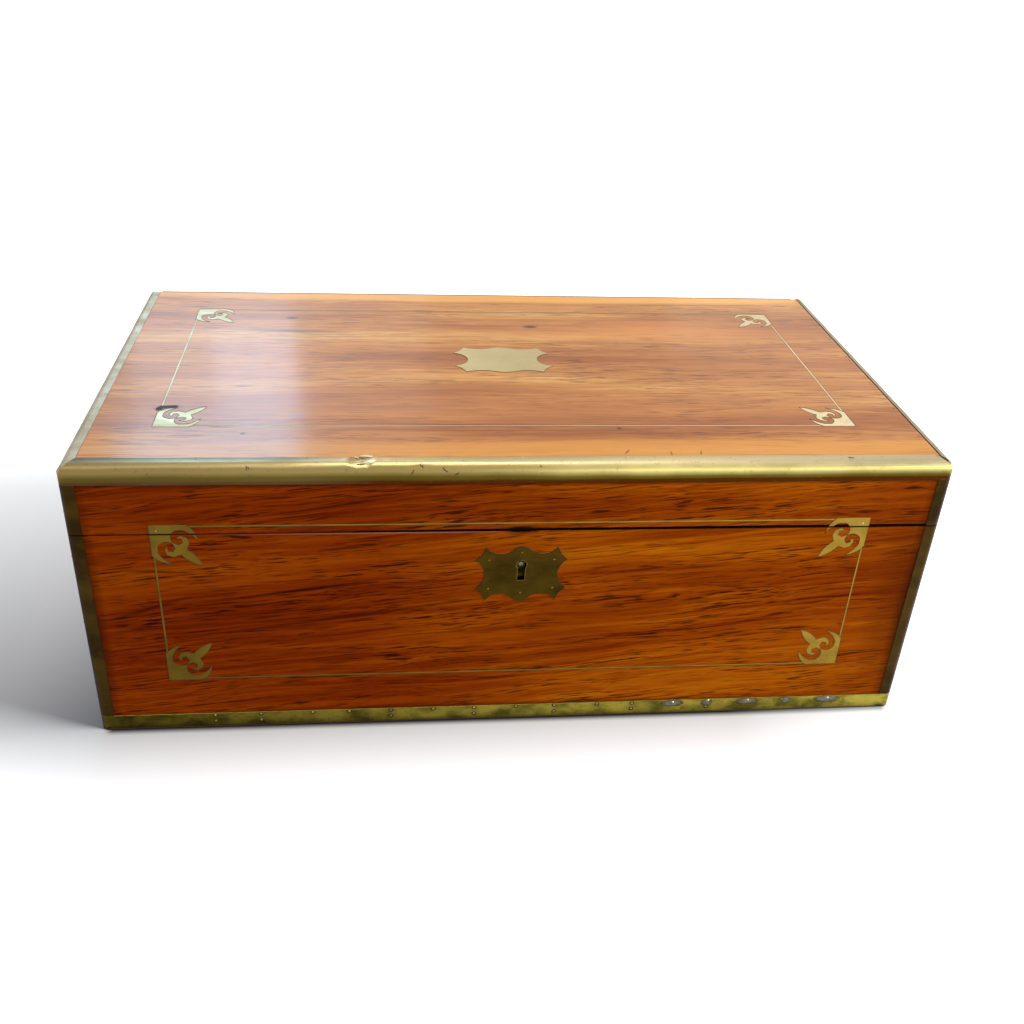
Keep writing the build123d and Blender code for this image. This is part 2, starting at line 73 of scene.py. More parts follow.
def put(tree, kind, inputs=None, out=0, stops=None, **settings):
    """Adds a node with its settings, ramp stops, values and links, and gives one of its outputs."""
    made = tree.nodes.new(kind)
    for name, value in settings.items():
        setattr(made, name, value)
    if stops:
        points = made.color_ramp.elements
        for _ in stops[2:]:
            points.new(0.5)
        for point, (position, colour) in zip(points, stops):
            point.position = position
            point.color = linear(colour)
    for key, value in (inputs or {}).items():
        if isinstance(value, bpy.types.NodeSocket):
            tree.links.new(value, made.inputs[key])
        else:
            made.inputs[key].default_value = value
    return made.outputs[out]


def degrees(turn):
    """A turn about X, Y and Z in degrees, in radians."""
    return tuple(math.radians(angle) for angle in turn)


def per_mm(x, y, z):
    """Mapping scale that makes one cell of a pattern x by y by z millimetres."""
    return (1000 / x, 1000 / y, 1000 / z)


def mm(*values):
    """Metres from millimetres."""
    return tuple(value * MM for value in values)


def join(tree, shader, **sources):
    """Links each pattern to the shader's socket of that name."""
    for socket, source in sources.items():
        tree.links.new(source, shader.inputs[socket.replace("_", " ")])


def run_along(tree, place, start, full, axis="X", most=1.0):
    """0 rising to most from one place in mm to another along an axis, and level beyond both."""
    along = put(tree, "ShaderNodeSeparateXYZ", {0: place}, axis)
    return put(tree, "ShaderNodeMapRange", {"Value": along, 1: start * MM, 2: full * MM, 4: most})


# settings of a node that mixes two colours
BLEND = {"data_type": "RGBA"}
MULTIPLY = {"data_type": "RGBA", "blend_type": "MULTIPLY"}


def new_finish(name, **uniform):
    """An empty material with its shader, whose even values are set on its own sockets."""
    material = bpy.data.materials.new(name)
    material.use_nodes = True
    tree = material.node_tree
    shader = tree.nodes["Principled BSDF"]
    for socket, value in uniform.items():
        shader.inputs[socket.replace("_", " ")].default_value = value
    return material, tree, shader


# ---- finishes


def timber(
    name,
    turn,
    stops,
    streak,
    stains=(),
    gloss=(0.4, 0.3),
    coat=(0.1, 0.2),
    pores=0.75,
    pore_width=0.9,
    lined=0.5,
    shade=(),
):
    """Figured hardwood: long bands and growth lines, dark pores along the grain and stains by place."""
    material, tree, shader = new_finish(
        name, Coat_Weight=coat[0], Coat_Roughness=coat[1], Specular_IOR_Level=gloss[1]
    )
    place = put(tree, "ShaderNodeTexCoord", out="Object")
    grain = put(tree, "ShaderNodeMapping", {"Vector": place, "Rotation": degrees(turn)})
    # the grain wanders about 5 mm across over 150 mm
    wide = put(tree, "ShaderNodeMapping", {"Vector": grain, "Scale": per_mm(160, 45, 45)})
    drift = put(tree, "ShaderNodeTexNoise", {"Vector": wide, "Scale": 1.0, "Detail": 2.0}, 1)
    drift = put(tree, "ShaderNodeVectorMath", {0: drift, 1: (0.5, 0.5, 0.5)}, operation="SUBTRACT")
    swayed = put(
        tree, "ShaderNodeVectorMath", {0: drift, 1: mm(0, 15, 15), 2: grain}, operation="MULTIPLY_ADD"
    )
    # broad soft bands, 35 mm across
    cells = put(tree, "ShaderNodeMapping", {"Vector": swayed, "Scale": per_mm(300, 35, 35)})
    bands = put(tree, "ShaderNodeTexNoise", {"Vector": cells, "Scale": 1.0, "Detail": 3.0})
    # growth lines, 3 mm and finer
    cells = put(tree, "ShaderNodeMapping", {"Vector": swayed, "Scale": per_mm(170, 3.2, 3.2)})
    lines = put(tree, "ShaderNodeTexNoise", {"Vector": cells, "Scale": 1.0, "Detail": 5.0, "Roughness": 0.6})
    figure = put(tree, "ShaderNodeMix", {0: lined, 2: bands, 3: lines})
    colour = put(tree, "ShaderNodeValToRGB", {0: figure}, stops=stops)
    # pores: dark streaks about 20 mm long and half a cell wide
    cells = put(tree, "ShaderNodeMapping", {"Vector": swayed, "Scale": per_mm(20, pore_width, pore_width)})
    fine = put(tree, "ShaderNodeTexNoise", {"Vector": cells, "Scale": 1.0, "Detail": 2.0})
    cells = put(tree, "ShaderNodeMapping", {"Vector": swayed, "Scale": per_mm(90, 9, 9)})
    zone = put(tree, "ShaderNodeTexNoise", {"Vector": cells, "Scale": 1.0, "Detail": 2.0})
    zone = put(tree, "ShaderNodeMapRange", {"Value": zone, 1: 0.38, 2: 0.60, 3: 0.25, 4: 1.0})
    pore = put(tree, "ShaderNodeMapRange", {"Value": fine, 1: 0.52, 2: 0.63, 3: 0.0, 4: pores})
    pore = put(tree, "ShaderNodeMath", {0: pore, 1: zone}, operation="MULTIPLY")
    colour = put(tree, "ShaderNodeMix", {0: pore, 6: colour, 7: linear(streak)}, 2, **BLEND)
    for start, full, tint in shade:
        # the board darkens evenly along X, from one x in mm to the other: painted shade, where light falls
        # off across it
        share = run_along(tree, place, start, full)
        colour = put(tree, "ShaderNodeMix", {0: share, 6: colour, 7: linear(tint)}, 2, **MULTIPLY)
    for centre, half, angle, tint, strength, core, still in stains:
        spot = put(
            tree,
            "ShaderNodeMapping",
            {
                "Vector": place if still else swayed,
                "Location": mm(*centre),
                "Rotation": degrees(angle),
                "Scale": mm(*half),
            },
            vector_type="TEXTURE",
        )
        away = put(tree, "ShaderNodeVectorMath", {0: spot}, "Value", operation="LENGTH")
        share = put(tree, "ShaderNodeMapRange", {"Value": away, 1: 1.0, 2: core, 3: 0.0, 4: strength})
        colour = put(tree, "ShaderNodeMix", {0: share, 6: colour, 7: linear(tint)}, 2, **BLEND)
    rough = put(
        tree, "ShaderNodeMapRange", {"Value": lines, 1: 0.3, 2: 0.7, 3: gloss[0], 4: gloss[0] + 0.14}
    )
    height = put(tree, "ShaderNodeMath", {0: lines, 1: pore}, operation="SUBTRACT")
    bump = put(tree, "ShaderNodeBump", {"Height": height, "Strength": 0.22, "Distance": 0.25 * MM})
    join(tree, shader, Base_Color=colour, Roughness=rough, Normal=bump)
    return material


def old_brass(
    name,
    clean,
    tarnish,
    grime,
    rough=0.36,
    patch=16.0,
    share=(0.42, 0.62),
    specks=0.5,
    levels=(),
    shade=(),
):
    """Rolled sheet brass, handled and half cleaned: cloudy tarnish, grime specks and fine rubbing lines."""
    material, tree, shader = new_finish(name, Metallic=1.0)
    place = put(tree, "ShaderNodeTexCoord", out="Object")
    cells = put(tree, "ShaderNodeMapping", {"Vector": place, "Scale": per_mm(patch * 1.6, patch, patch)})
    cloud = put(tree, "ShaderNodeTexNoise", {"Vector": cells, "Scale": 1.0, "Detail": 5.0, "Roughness": 0.6})
    dull = put(tree, "ShaderNodeMapRange", {"Value": cloud, 1: share[0], 2: share[1]})
    colour = put(tree, "ShaderNodeMix", {0: dull, 6: linear(clean), 7: linear(tarnish)}, 2, **BLEND)
    if levels:
        # a strip whose tones change round its bend, patina with painted highlights and shade, from the lower
        # edge (0) to the back edge (15 mm), and from one stretch of X to the next: (start x, full x, stops)
        away = put(tree, "ShaderNodeVectorMath", {0: place, 1: mm(0, FRONT, 174)}, operation="SUBTRACT")
        level = put(
            tree, "ShaderNodeVectorMath", {0: away, 1: (0, 0.476, 0.88)}, "Value", operation="DOT_PRODUCT"
        )
        level = put(tree, "ShaderNodeMapRange", {"Value": level, 2: 15 * MM})
        level = put(tree, "ShaderNodeMath", {0: cloud, 1: 0.12, 2: level}, operation="MULTIPLY_ADD")
        level = put(tree, "ShaderNodeMath", {0: level, 1: 0.06}, operation="SUBTRACT")
        for start, full, tones in levels:
            patina_and_light = put(tree, "ShaderNodeValToRGB", {0: level}, stops=tones)
            part = run_along(tree, place, start, full, most=0.92)
            colour = put(tree, "ShaderNodeMix", {0: part, 6: colour, 7: patina_and_light}, 2, **BLEND)
    for start, full, tint, *axis in shade:
        # painted shade: darker along X, or along the axis that is named
        fall = run_along(tree, place, start, full, *axis)
        colour = put(tree, "ShaderNodeMix", {0: fall, 6: colour, 7: linear(tint)}, 2, **MULTIPLY)
    cells = put(tree, "ShaderNodeMapping", {"Vector": place, "Scale": per_mm(2.6, 2.2, 2.2)})
    speck = put(tree, "ShaderNodeTexNoise", {"Vector": cells, "Scale": 1.0, "Detail": 3.0})
    dirt = put(tree, "ShaderNodeMapRange", {"Value": speck, 1: 0.60, 2: 0.74, 3: 0.0, 4: specks})
    colour = put(tree, "ShaderNodeMix", {0: dirt, 6: colour, 7: linear(grime)}, 2, **BLEND)
    cells = put(tree, "ShaderNodeMapping", {"Vector": place, "Scale": per_mm(40, 40, 0.9)})
    rub = put(tree, "ShaderNodeTexNoise", {"Vector": cells, "Scale": 1.0, "Detail": 3.0})
    worn = put(tree, "ShaderNodeMix", {0: 0.5, 2: dull, 3: rub})
    worn = put(tree, "ShaderNodeMapRange", {"Value": worn, 3: rough - 0.07, 4: rough + 0.16})
    bump = put(tree, "ShaderNodeBump", {"Height": cloud, "Strength": 0.25, "Distance": 0.5 * MM})
    join(tree, shader, Base_Color=colour, Roughness=worn, Normal=bump)
    return material


def tooled_hide():
    """Skiver, thin sheepskin rolled with a fine grain: soft sheen, darker where hands rest."""
    material, tree, shader = new_finish("green_skiver_leather", Specular_IOR_Level=0.35)
    place = put(tree, "ShaderNodeTexCoord", out="Object")
    cells = put(tree, "ShaderNodeMapping", {"Vector": place, "Scale": per_mm(0.9, 0.9, 0.9)})
    grain = put(tree, "ShaderNodeTexVoronoi", {"Vector": cells, "Scale": 1.0}, feature="SMOOTH_F1")
    cells = put(tree, "ShaderNodeMapping", {"Vector": place, "Scale": per_mm(70, 50, 50)})
    cloud = put(tree, "ShaderNodeTexNoise", {"Vector": cells, "Scale": 1.0, "Detail": 5.0})
    colour = put(
        tree, "ShaderNodeValToRGB", {0: cloud}, stops=[(0.3, "#16241b"), (0.55, "#21372a"), (0.8, "#34503c")]
    )
    cells = put(tree, "ShaderNodeMapping", {"Vector": place, "Scale": per_mm(3, 2.4, 2.4)})
    fleck = put(tree, "ShaderNodeTexNoise", {"Vector": cells, "Scale": 1.0, "Detail": 3.0})
    worn = put(tree, "ShaderNodeMapRange", {"Value": fleck, 1: 0.62, 2: 0.78, 3: 0.0, 4: 0.5})
    colour = put(tree, "ShaderNodeMix", {0: worn, 6: colour, 7: linear("#5d6b4c")}, 2, **BLEND)
    rough = put(tree, "ShaderNodeMapRange", {"Value": cloud, 1: 0.3, 2: 0.7, 3: 0.44, 4: 0.62})
    bump = put(tree, "ShaderNodeBump", {"Height": grain, "Strength": 0.5, "Distance": 0.2 * MM})
    join(tree, shader, Base_Color=colour, Roughness=rough, Normal=bump)
    return material


def old_steel():
    """Forged and filed steel of the bolt: dark, with brown rust in patches."""
    material, tree, shader = new_finish("filed_steel")
    place = put(tree, "ShaderNodeTexCoord", out="Object")
    cells = put(tree, "ShaderNodeMapping", {"Vector": place, "Scale": per_mm(5, 4, 4)})
    cloud = put(tree, "ShaderNodeTexNoise", {"Vector": cells, "Scale": 1.0, "Detail": 5.0})
    rust = put(tree, "ShaderNodeMapRange", {"Value": cloud, 1: 0.5, 2: 0.66})
    colour = put(tree, "ShaderNodeMix", {0: rust, 6: linear("#5f5c58"), 7: linear("#4a3020")}, 2, **BLEND)
    metal = put(tree, "ShaderNodeMapRange", {"Value": rust, 3: 1.0, 4: 0.3})
    rough = put(tree, "ShaderNodeMapRange", {"Value": rust, 3: 0.36, 4: 0.8})
    join(tree, shader, Base_Color=colour, Metallic=metal, Roughness=rough)
    return material


def cut_glass():
    """Moulded and ground flint glass: clear, faintly green, with a slightly wavy skin."""
    material, tree, shader = new_finish(
        "moulded_glass", Transmission_Weight=1.0, IOR=1.5, Roughness=0.03, Base_Color=linear("#e4efe9")
    )
    place = put(tree, "ShaderNodeTexCoord", out="Object")
    cells = put(tree, "ShaderNodeMapping", {"Vector": place, "Scale": per_mm(9, 9, 12)})
    wave = put(tree, "ShaderNodeTexNoise", {"Vector": cells, "Scale": 1.0, "Detail": 1.0})
    bump = put(tree, "ShaderNodeBump", {"Height": wave, "Strength": 0.2, "Distance": 0.3 * MM})
    join(tree, shader, Normal=bump)
    return material


def clouded(name, first, second, size, rough, metallic=0.0, rim=None):
    """A dull finish of two colours in soft clouds; rim is the colour where a lump on the front thins out."""
    material, tree, shader = new_finish(name, Metallic=metallic, Specular_IOR_Level=0.3)
    place = put(tree, "ShaderNodeTexCoord", out="Object")
    cells = put(tree, "ShaderNodeMapping", {"Vector": place, "Scale": per_mm(size, size, size)})
    cloud = put(tree, "ShaderNodeTexNoise", {"Vector": cells, "Scale": 1.0, "Detail": 4.0})
    colour = put(tree, "ShaderNodeValToRGB", {0: cloud}, stops=[(0.35, first), (0.65, second)])
    if rim:
        thin = run_along(tree, place, FRONT - 0.4, FRONT - 0.15, "Y")
        colour = put(tree, "ShaderNodeMix", {0: thin, 6: colour, 7: linear(rim)}, 2, **BLEND)
    worn = put(tree, "ShaderNodeMapRange", {"Value": cloud, 3: rough - 0.1, 4: rough + 0.1})
    join(tree, shader, Base_Color=colour, Roughness=worn)
    return material


FLAT = (0.0, 0.0, 0.0)
# Stains: centre and half sizes in mm, turn in degrees, colour, strength, share of the radius that is
# full, and whether they keep still or follow the wandering grain. On the top: paler and darker
# stretches, streaks, knots, wax spots and scratches
STILL, GRAIN = True, False
top_stains = [
    ((x, y, HEIGHT), (long, wide, 30), (0, 0, turn), *rest)
    for x, y, long, wide, turn, *rest in (
        (0, 136, 420, 12, 0, "#dfa04a", 0.75, 0.5, GRAIN),
        (60, -119, 360, 15, 0, "#cc8b38", 0.62, 0.5, GRAIN),
        (120, 70, 120, 30, 0, "#d98f48", 0.5, 0.1, GRAIN),
        (0, -60, 260, 26, 0, "#a2602f", 0.45, 0.3, GRAIN),
        (150, -85, 120, 12, 0, "#9c5a30", 0.4, 0.2, GRAIN),
        (60, 46, 46, 4, 4, "#8a4f34", 0.5, 0.1, STILL),
        (112, 30, 60, 4, -7, "#8a4f34", 0.4, 0.1, STILL),
        (-60, -62, 52, 4, 3, "#7d5140", 0.45, 0.1, STILL),
        (-146, 89, 6, 3.0, 0, "#4a2616", 0.95, 0.4, STILL),
        (27, 75, 7, 3.4, 0, "#4f2a18", 0.95, 0.4, STILL),
        (-143, 63, 46, 4.5, -2, "#5c3428", 0.8, 0.15, STILL),
        (-131, -75, 8, 3.5, 0, "#6f6f8c", 0.6, 0.1, STILL),
        (-209, -64, 10, 5.0, 8, "#2a160a", 0.9, 0.3, STILL),
        (-161, -99, 2.2, 2.0, 0, "#1c0e06", 0.9, 0.4, STILL),
        (63, -93, 1.8, 1.6, 0, "#2c160a", 0.9, 0.4, STILL),
        (62, -124, 1.0, 4.5, -30, "#5e3014", 0.8, 0.2, STILL),
        (88, -126, 0.8, 4.0, 0, "#5e3014", 0.8, 0.2, STILL),
        (106, -125, 0.8, 4.5, -15, "#5e3014", 0.8, 0.2, STILL),
    )
]
# The front: dark veins, painted shade at its right-hand end, a pale line under the joint that is its worn
# edge and partly a painted highlight, a painted shadow inside the keyhole, grime and painted shade along the
# brass, a painted shadow in the joint's gap along its right-hand half, and a blackened mark above the lock
front_stains = [
    ((x, -142, z), (long, 30, high), (0, turn, 0), *rest)
    for x, z, long, high, turn, *rest in (
        (-95, 84, 95, 1.5, -8, "#2c0a02", 0.75, 0.1, STILL),
        (-126, 103, 60, 1.6, -7.6, "#2c0a02", 0.95, 0.2, STILL),
        (-215, 92, 32, 2.2, -18, "#2c0a02", 0.75, 0.1, STILL),
        (-208, 117, 24, 1.6, 4, "#2c0a02", 0.6, 0.1, STILL),
        (-90, 168, 60, 1.4, -3, "#2c0a02", 0.6, 0.1, GRAIN),
        # painted shade at the right-hand end
        (245, 90, 26, 90, 0, "#5c2300", 0.6, 0.1, STILL),
        # the worn edge under the joint, partly a painted highlight
        (-82, 141.5, 112, 0.5, 0, "#b5735a", 0.75, 0.4, STILL),
        # painted shadow inside the keyhole
        (1.2, 112, 6.5, 14, 0, "#050302", 1.0, 0.8, STILL),
        # grime and painted shade along the straps, the foot and the nosing
        (-247, 80, 6, 150, 0, "#2a0d03", 0.6, 0.1, STILL),
        (247, 80, 6, 150, 0, "#2a0d03", 0.6, 0.1, STILL),
        (0, 11, 420, 3.5, 0, "#2a0d03", 0.6, 0.1, STILL),
        (0, 174, 420, 2.5, 0, "#2a0d03", 0.6, 0.1, STILL),
        # painted shadow in the joint's gap on its right-hand half; then a blackened mark above the lock
        (190, 142.8, 330, 1.15, 0, "#050302", 1.0, 0.86, STILL),
        (0, 142.8, 14, 3.0, 0, "#0b0806", 0.95, 0.5, STILL),
    )
]

# French-polished top board: warm orange-brown, paler where sun reached it, with a soft reflection
top_wood = timber(
    "polished_wood_top",
    FLAT,
    [(0.36, "#8f4e1c"), (0.45, "#a6642a"), (0.54, "#bb7a38"), (0.62, "#cc924c"), (0.74, "#dfb17c")],
    "#5c3014",
    top_stains,
    gloss=(0.36, 0.1),
    coat=(0.25, 0.14),
    pores=0.75,
    pore_width=1.05,
    lined=0.38,
    # the first entry darkens the whole board a little; the second is painted shade, the right-hand end darker
    shade=[(-300, -290, "#f7fafe"), (0, 130, "#f2f2fc")],
)
# The front, its polish worn off: deep red-brown, almost no shine, black pores and veins
front_wood = timber(
    "polished_wood_front",
    (0, 5, 0),
    [(0.35, "#812a00"), (0.46, "#9f4500"), (0.54, "#b45802"), (0.66, "#c87108")],
    "#240a02",
    front_stains,
    gloss=(0.42, 0.015),
    coat=(0.0, 0.2),
    pores=0.85,
    # painted shade: the front darker towards the left, and again at its far right end, as the key light falls
    # across it
    shade=[(40, -90, "#d4af95"), (170, 256, "#e0ccc0")],
)
# The back and the ends, less handled: an even red with a thin sheen, the figure along each board
back_wood, end_wood = (
    timber(
        f"polished_wood_{side}",
        turn,
        [(0.32, "#6a1f06"), (0.45, "#8a350c"), (0.56, "#a14a14"), (0.72, "#b5621e")],
        "#2f0d03",
        gloss=(0.42, 0.15),
        coat=(0.1, 0.25),
    )
    for side, turn in (("back", FLAT), ("ends", (0, 0, 90)))
)
# Waxed wood of the inside: paler, dry and dull
inner_wood = timber(
    "waxed_wood_inside",
    FLAT,
    [(0.32, "#5f2f1a"), (0.45, "#7d4426"), (0.56, "#92552f"), (0.72, "#a9683a")],
    "#351a0e",
    gloss=(0.58, 0.15),
    coat=(0.0, 0.3),
    pores=0.6,
)

# Tones of the nosing, part patina and part painted light and shade, from its lower edge round the bend to the
# flat strip on the top: the skirt darkens towards the lower edge as painted shade over olive tarnish, the
# pale bands on the bend are painted highlights where hands have also rubbed it, the dull tone on the
# right-hand bend is painted shade that damps the key lamp's highlight, and the brown top at the left end is
# tarnish with painted shade against the glare there
worn_and_shaded, olive, green, dull, tarnished = "#3e1e05", "#665a1c", "#b8ab68", "#766f49", "#a8935a"
rubbed_and_highlit, yellow_highlight, bright, handled, brown = "#cdb98a", "#f0e08e", "#e2ce98", "#b3a37e", "#503a24"
skirt = [(0.08, worn_and_shaded), (0.27, olive), (0.45, tarnished)]
nosing_end = skirt + [(0.6, tarnished), (0.68, rubbed_and_highlit), (0.76, tarnished), (1.0, brown)]
nosing_left = skirt + [(0.67, tarnished), (0.8, rubbed_and_highlit), (1.0, tarnished)]
nosing_middle = [(0.12, worn_and_shaded), (0.24, olive), (0.47, yellow_highlight), (0.57, green)]
nosing_middle += [(0.78, bright), (1.0, handled)]
nosing_right = [(0.15, worn_and_shaded), (0.25, olive), (0.43, green), (0.6, dull), (0.75, handled)]
# Rolled brass nosing, rubbed by hands: pale gold, with a soft line of light along the bend from the ceiling
# lamp, and painted highlights and shade from its tones
nosing_brass = old_brass(
    "rubbed_brass_nosing",
    "#c9b98a",
    "#b5a472",
    "#5d4d22",
    rough=0.3,
    patch=30,
    share=(0.4, 0.7),
    specks=0.35,
    levels=[
        (-300, -290, nosing_end),
        (-130, -80, nosing_left),
        (-40, 80, nosing_middle),
        (90, 210, nosing_right),
    ],
    # painted shade: the nosing darker towards the left
    shade=[(60, -230, "#d4cfc6")],
)
# Sheet brass of the lid's ends: grey-brown and matt, faintly clouded
end_brass = old_brass(
    "dull_brass_ends", "#a3937a", "#8c7e62", "#54472f", rough=0.44, patch=14, share=(0.38, 0.7), specks=0.45
)
# Corner straps: almost black-brown tarnish that only glints
strap_brass = old_brass(
    "dark_brass_straps", "#3d2c0c", "#291c07", "#150d04", rough=0.42, patch=22, share=(0.4, 0.65), specks=0.4
)
# Foot edging: yellow-green verdigris patches over dark brass
foot_brass = old_brass(
    "green_brass_foot",
    "#aa9c3e",
    "#615b21",
    "#2c2a10",
    patch=13,
    share=(0.4, 0.62),
    specks=0.6,
    # painted shade: the foot edging darker towards the left
    shade=[(60, -230, "#988f80")],
)
# Inlays of the front: old-gold tarnish, hardly shining
front_inlay_brass = old_brass(
    "tarnished_brass_front",
    "#8a6f28",
    "#765e1f",
    "#4a3a14",
    rough=0.4,
    patch=12,
    share=(0.4, 0.7),
    specks=0.3,
    # painted shade: the front inlays darker towards the left
    shade=[(150, -230, "#acaca0")],
)
# Inlays of the top: polished with the wood, pale and bright
top_inlay_brass = old_brass(
    "bright_brass_top",
    "#d9caa4",
    "#c9ba8e",
    "#8d7d4c",
    patch=12,
    share=(0.4, 0.7),
    specks=0.25,
    # painted shade: the top inlays darker towards the left and towards the back
    shade=[(60, -200, "#c6bfb3"), (30, 100, "#dcdace", "Y")],
)
# Name plate: one even, softly shining sheet of pale gold
plate_brass = old_brass(
    "bright_brass_plate", "#bba977", "#ae9b6c", "#857642", rough=0.34, patch=20, share=(0.4, 0.7), specks=0.25
)
# Escutcheon: dark olive-brown, darkened by keys and hands, and partly painted shade for a plate that faces
# forward
lock_plate_brass = old_brass(
    "brown_brass_escutcheon",
    "#3b2d08",
    "#2c2004",
    "#1d1504",
    rough=0.4,
    patch=14,
    share=(0.4, 0.65),
    specks=0.3,
)
# Cast fittings kept inside or flush: full yellow with brown clouds
fitting_brass = old_brass(
    "cast_brass_fittings", "#b39a55", "#917c3e", "#4a3d1b", patch=10, share=(0.42, 0.66), specks=0.4
)
# Edge of the keyhole: a thin lighter line, where the key has rubbed it, and partly a painted highlight of its
# bevel
keyhole_brass = old_brass("rubbed_keyhole_edge", "#8a7440", "#6b5828", "#3a3212", patch=4)
# Drawn brass pins: small heads rubbed brighter than the strip they hold; the foot's brass also makes the
# painted highlight on the foot's upper edge
foot_pin_brass, pin_brass = (
    old_brass(name, clean, tarnish, grime, rough=0.3, patch=3, share=(0.45, 0.7), specks=0.3)
    for name, clean, tarnish, grime in (
        ("worn_pin_heads_foot", "#a59544", "#6f6228", "#3a3212"),
        ("brass_pin_heads", "#c8b56c", "#8f7f3d", "#4a3f1c"),
    )
)
# Green skiver, forged steel and moulded glass, each as its function says
hide = tooled_hide()
steel = old_steel()
glass = cut_glass()
# Dark wax and old polish: a thin black-brown line round each inlay, dirt in every nick, and painted shade in
# the dent, under the foot edging and round the foot's pins
filler = clouded("dark_wax_filler", "#1c1008", "#33200f", 4, 0.6)
# Soft solder from an old repair: lumpy grey spots, half dull, olive where they thin out
solder = clouded("soft_solder", "#6a6861", "#8f8c82", 3, 0.5, 0.8, "#57512a")
# Gold leaf worn into the leather by a hot roll: broken, dark gold lines
gilt = clouded("worn_gold_leaf", "#6e5a24", "#b4923e", 2, 0.45, 0.9)

by_node = {
    "lid_top_board": top_wood,
    "base_front_board": front_wood,
    "lid_front_board": front_wood,
    "base_back_board": back_wood,
    "lid_back_board": back_wood,
    "name_plate": plate_brass,
    "escutcheon": lock_plate_brass,
    "lid_end_edging": end_brass,
    "lid_front_nosing": nosing_brass,
    "top_corner_inlays": top_inlay_brass,
    "top_stringing": top_inlay_brass,
}
by_slot = {
    "case_wood": end_wood,
    "interior_wood": inner_wood,
    "brass_edging": foot_brass,
    "brass_inlay": front_inlay_brass,
    "brass_fittings": fitting_brass,
    "steel": steel,
    "leather": hide,
    "glass": glass,
}
for name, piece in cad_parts.items():
    for slot in piece.material_slots:
        finish = by_node.get(name) or (strap_brass if "straps" in name else by_slot[slot.material.name])
        slot.material = finish


# ---- pieces


def keep(name, mesh, body, finish=None, smooth=30.0):
    """A finished mesh as a piece of the object, on its body."""
    piece = bpy.data.objects.new(name, mesh)
    bpy.context.scene.collection.objects.link(piece)
    mesh.name = name
    if finish:
        mesh.materials.clear()
        mesh.materials.append(finish)
    mesh.shade_smooth()
    mesh.set_sharp_from_angle(angle=math.radians(smooth))
    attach(piece, body)
    return piece


def worked(name, mesh, tree, sizes, body):
    """The plain mesh that a Geometry Nodes tree makes on a mesh of points or lines."""
    carrier = bpy.data.objects.new(name + "_carrier", mesh)
    bpy.context.scene.collection.objects.link(carrier)
    modifier = carrier.modifiers.new("work", "NODES")
    modifier.node_group = tree
    for item in tree.interface.items_tree:
        if item.in_out == "INPUT" and item.name in sizes:
            modifier[item.identifier] = sizes[item.name]
    view = bpy.context.evaluated_depsgraph_get()
    result = bpy.data.meshes.new_from_object(carrier.evaluated_get(view))
    bpy.data.objects.remove(carrier)
    return keep(name, result, body)


def new_tree(name, **inputs):
    """A Geometry Nodes tree with a geometry in and out and the named inputs."""
    tree = bpy.data.node_groups.new(name, "GeometryNodeTree")
    tree.interface.new_socket("Geometry", in_out="INPUT", socket_type="NodeSocketGeometry")
    tree.interface.new_socket("Geometry", in_out="OUTPUT", socket_type="NodeSocketGeometry")
    for label, kind in inputs.items():
        tree.interface.new_socket(label.replace("_", " "), in_out="INPUT", socket_type="NodeSocket" + kind)
    return tree, tree.nodes.new("NodeGroupInput").outputs


def end_tree(tree, given, shape):
    """Ends a tree: its shape made real, in its finish."""
    real = put(tree, "GeometryNodeRealizeInstances", {"Geometry": shape})
    done = put(tree, "GeometryNodeSetMaterial", {"Geometry": real, "Material": given["Finish"]})
    tree.links.new(done, tree.nodes.new("NodeGroupOutput").inputs["Geometry"])
    return tree


def set_heads(tree, given, head):
    """Ends a tree: the head on every point, along its aim and turned about it."""
    aim = put(tree, "GeometryNodeInputNamedAttribute", {"Name": "aim"}, data_type="FLOAT_VECTOR")
    stand = put(tree, "FunctionNodeAlignRotationToVector", {"Vector": aim}, axis="Z")
    turn = put(tree, "GeometryNodeInputNamedAttribute", {"Name": "turn"}, data_type="FLOAT")
    spin = put(tree, "FunctionNodeAxisAngleToRotation", {"Axis": (0, 0, 1), "Angle": turn})
    aligned = put(
        tree, "FunctionNodeRotateRotation", {"Rotation": stand, "Rotate By": spin}, rotation_space="LOCAL"
    )
    heads = put(
        tree,
        "GeometryNodeInstanceOnPoints",
        {"Points": given["Geometry"], "Instance": head, "Rotation": aligned},
    )
    return end_tree(tree, given, heads)


def dome_heads():
    """Domed pin heads: the upper half of a squashed ball, closed flat underneath."""
    tree, given = new_tree("domed_pins", Radius="Float", Rise="Float", Finish="Material")
    ball = put(tree, "GeometryNodeMeshUVSphere", {"Segments": 12, "Rings": 8, "Radius": 1.0})
    place = put(tree, "GeometryNodeInputPosition")
    x, y, z = (put(tree, "ShaderNodeSeparateXYZ", {0: place}, axis) for axis in "XYZ")
    level = put(tree, "ShaderNodeMath", {0: z, 1: -0.2}, operation="MAXIMUM")
    flat = put(tree, "ShaderNodeCombineXYZ", {"X": x, "Y": y, "Z": level})
    half = put(tree, "GeometryNodeSetPosition", {"Geometry": ball, "Position": flat})
    size = put(
        tree, "ShaderNodeCombineXYZ", {"X": given["Radius"], "Y": given["Radius"], "Z": given["Rise"]}
    )
    return set_heads(tree, given, put(tree, "GeometryNodeTransform", {"Geometry": half, "Scale": size}))


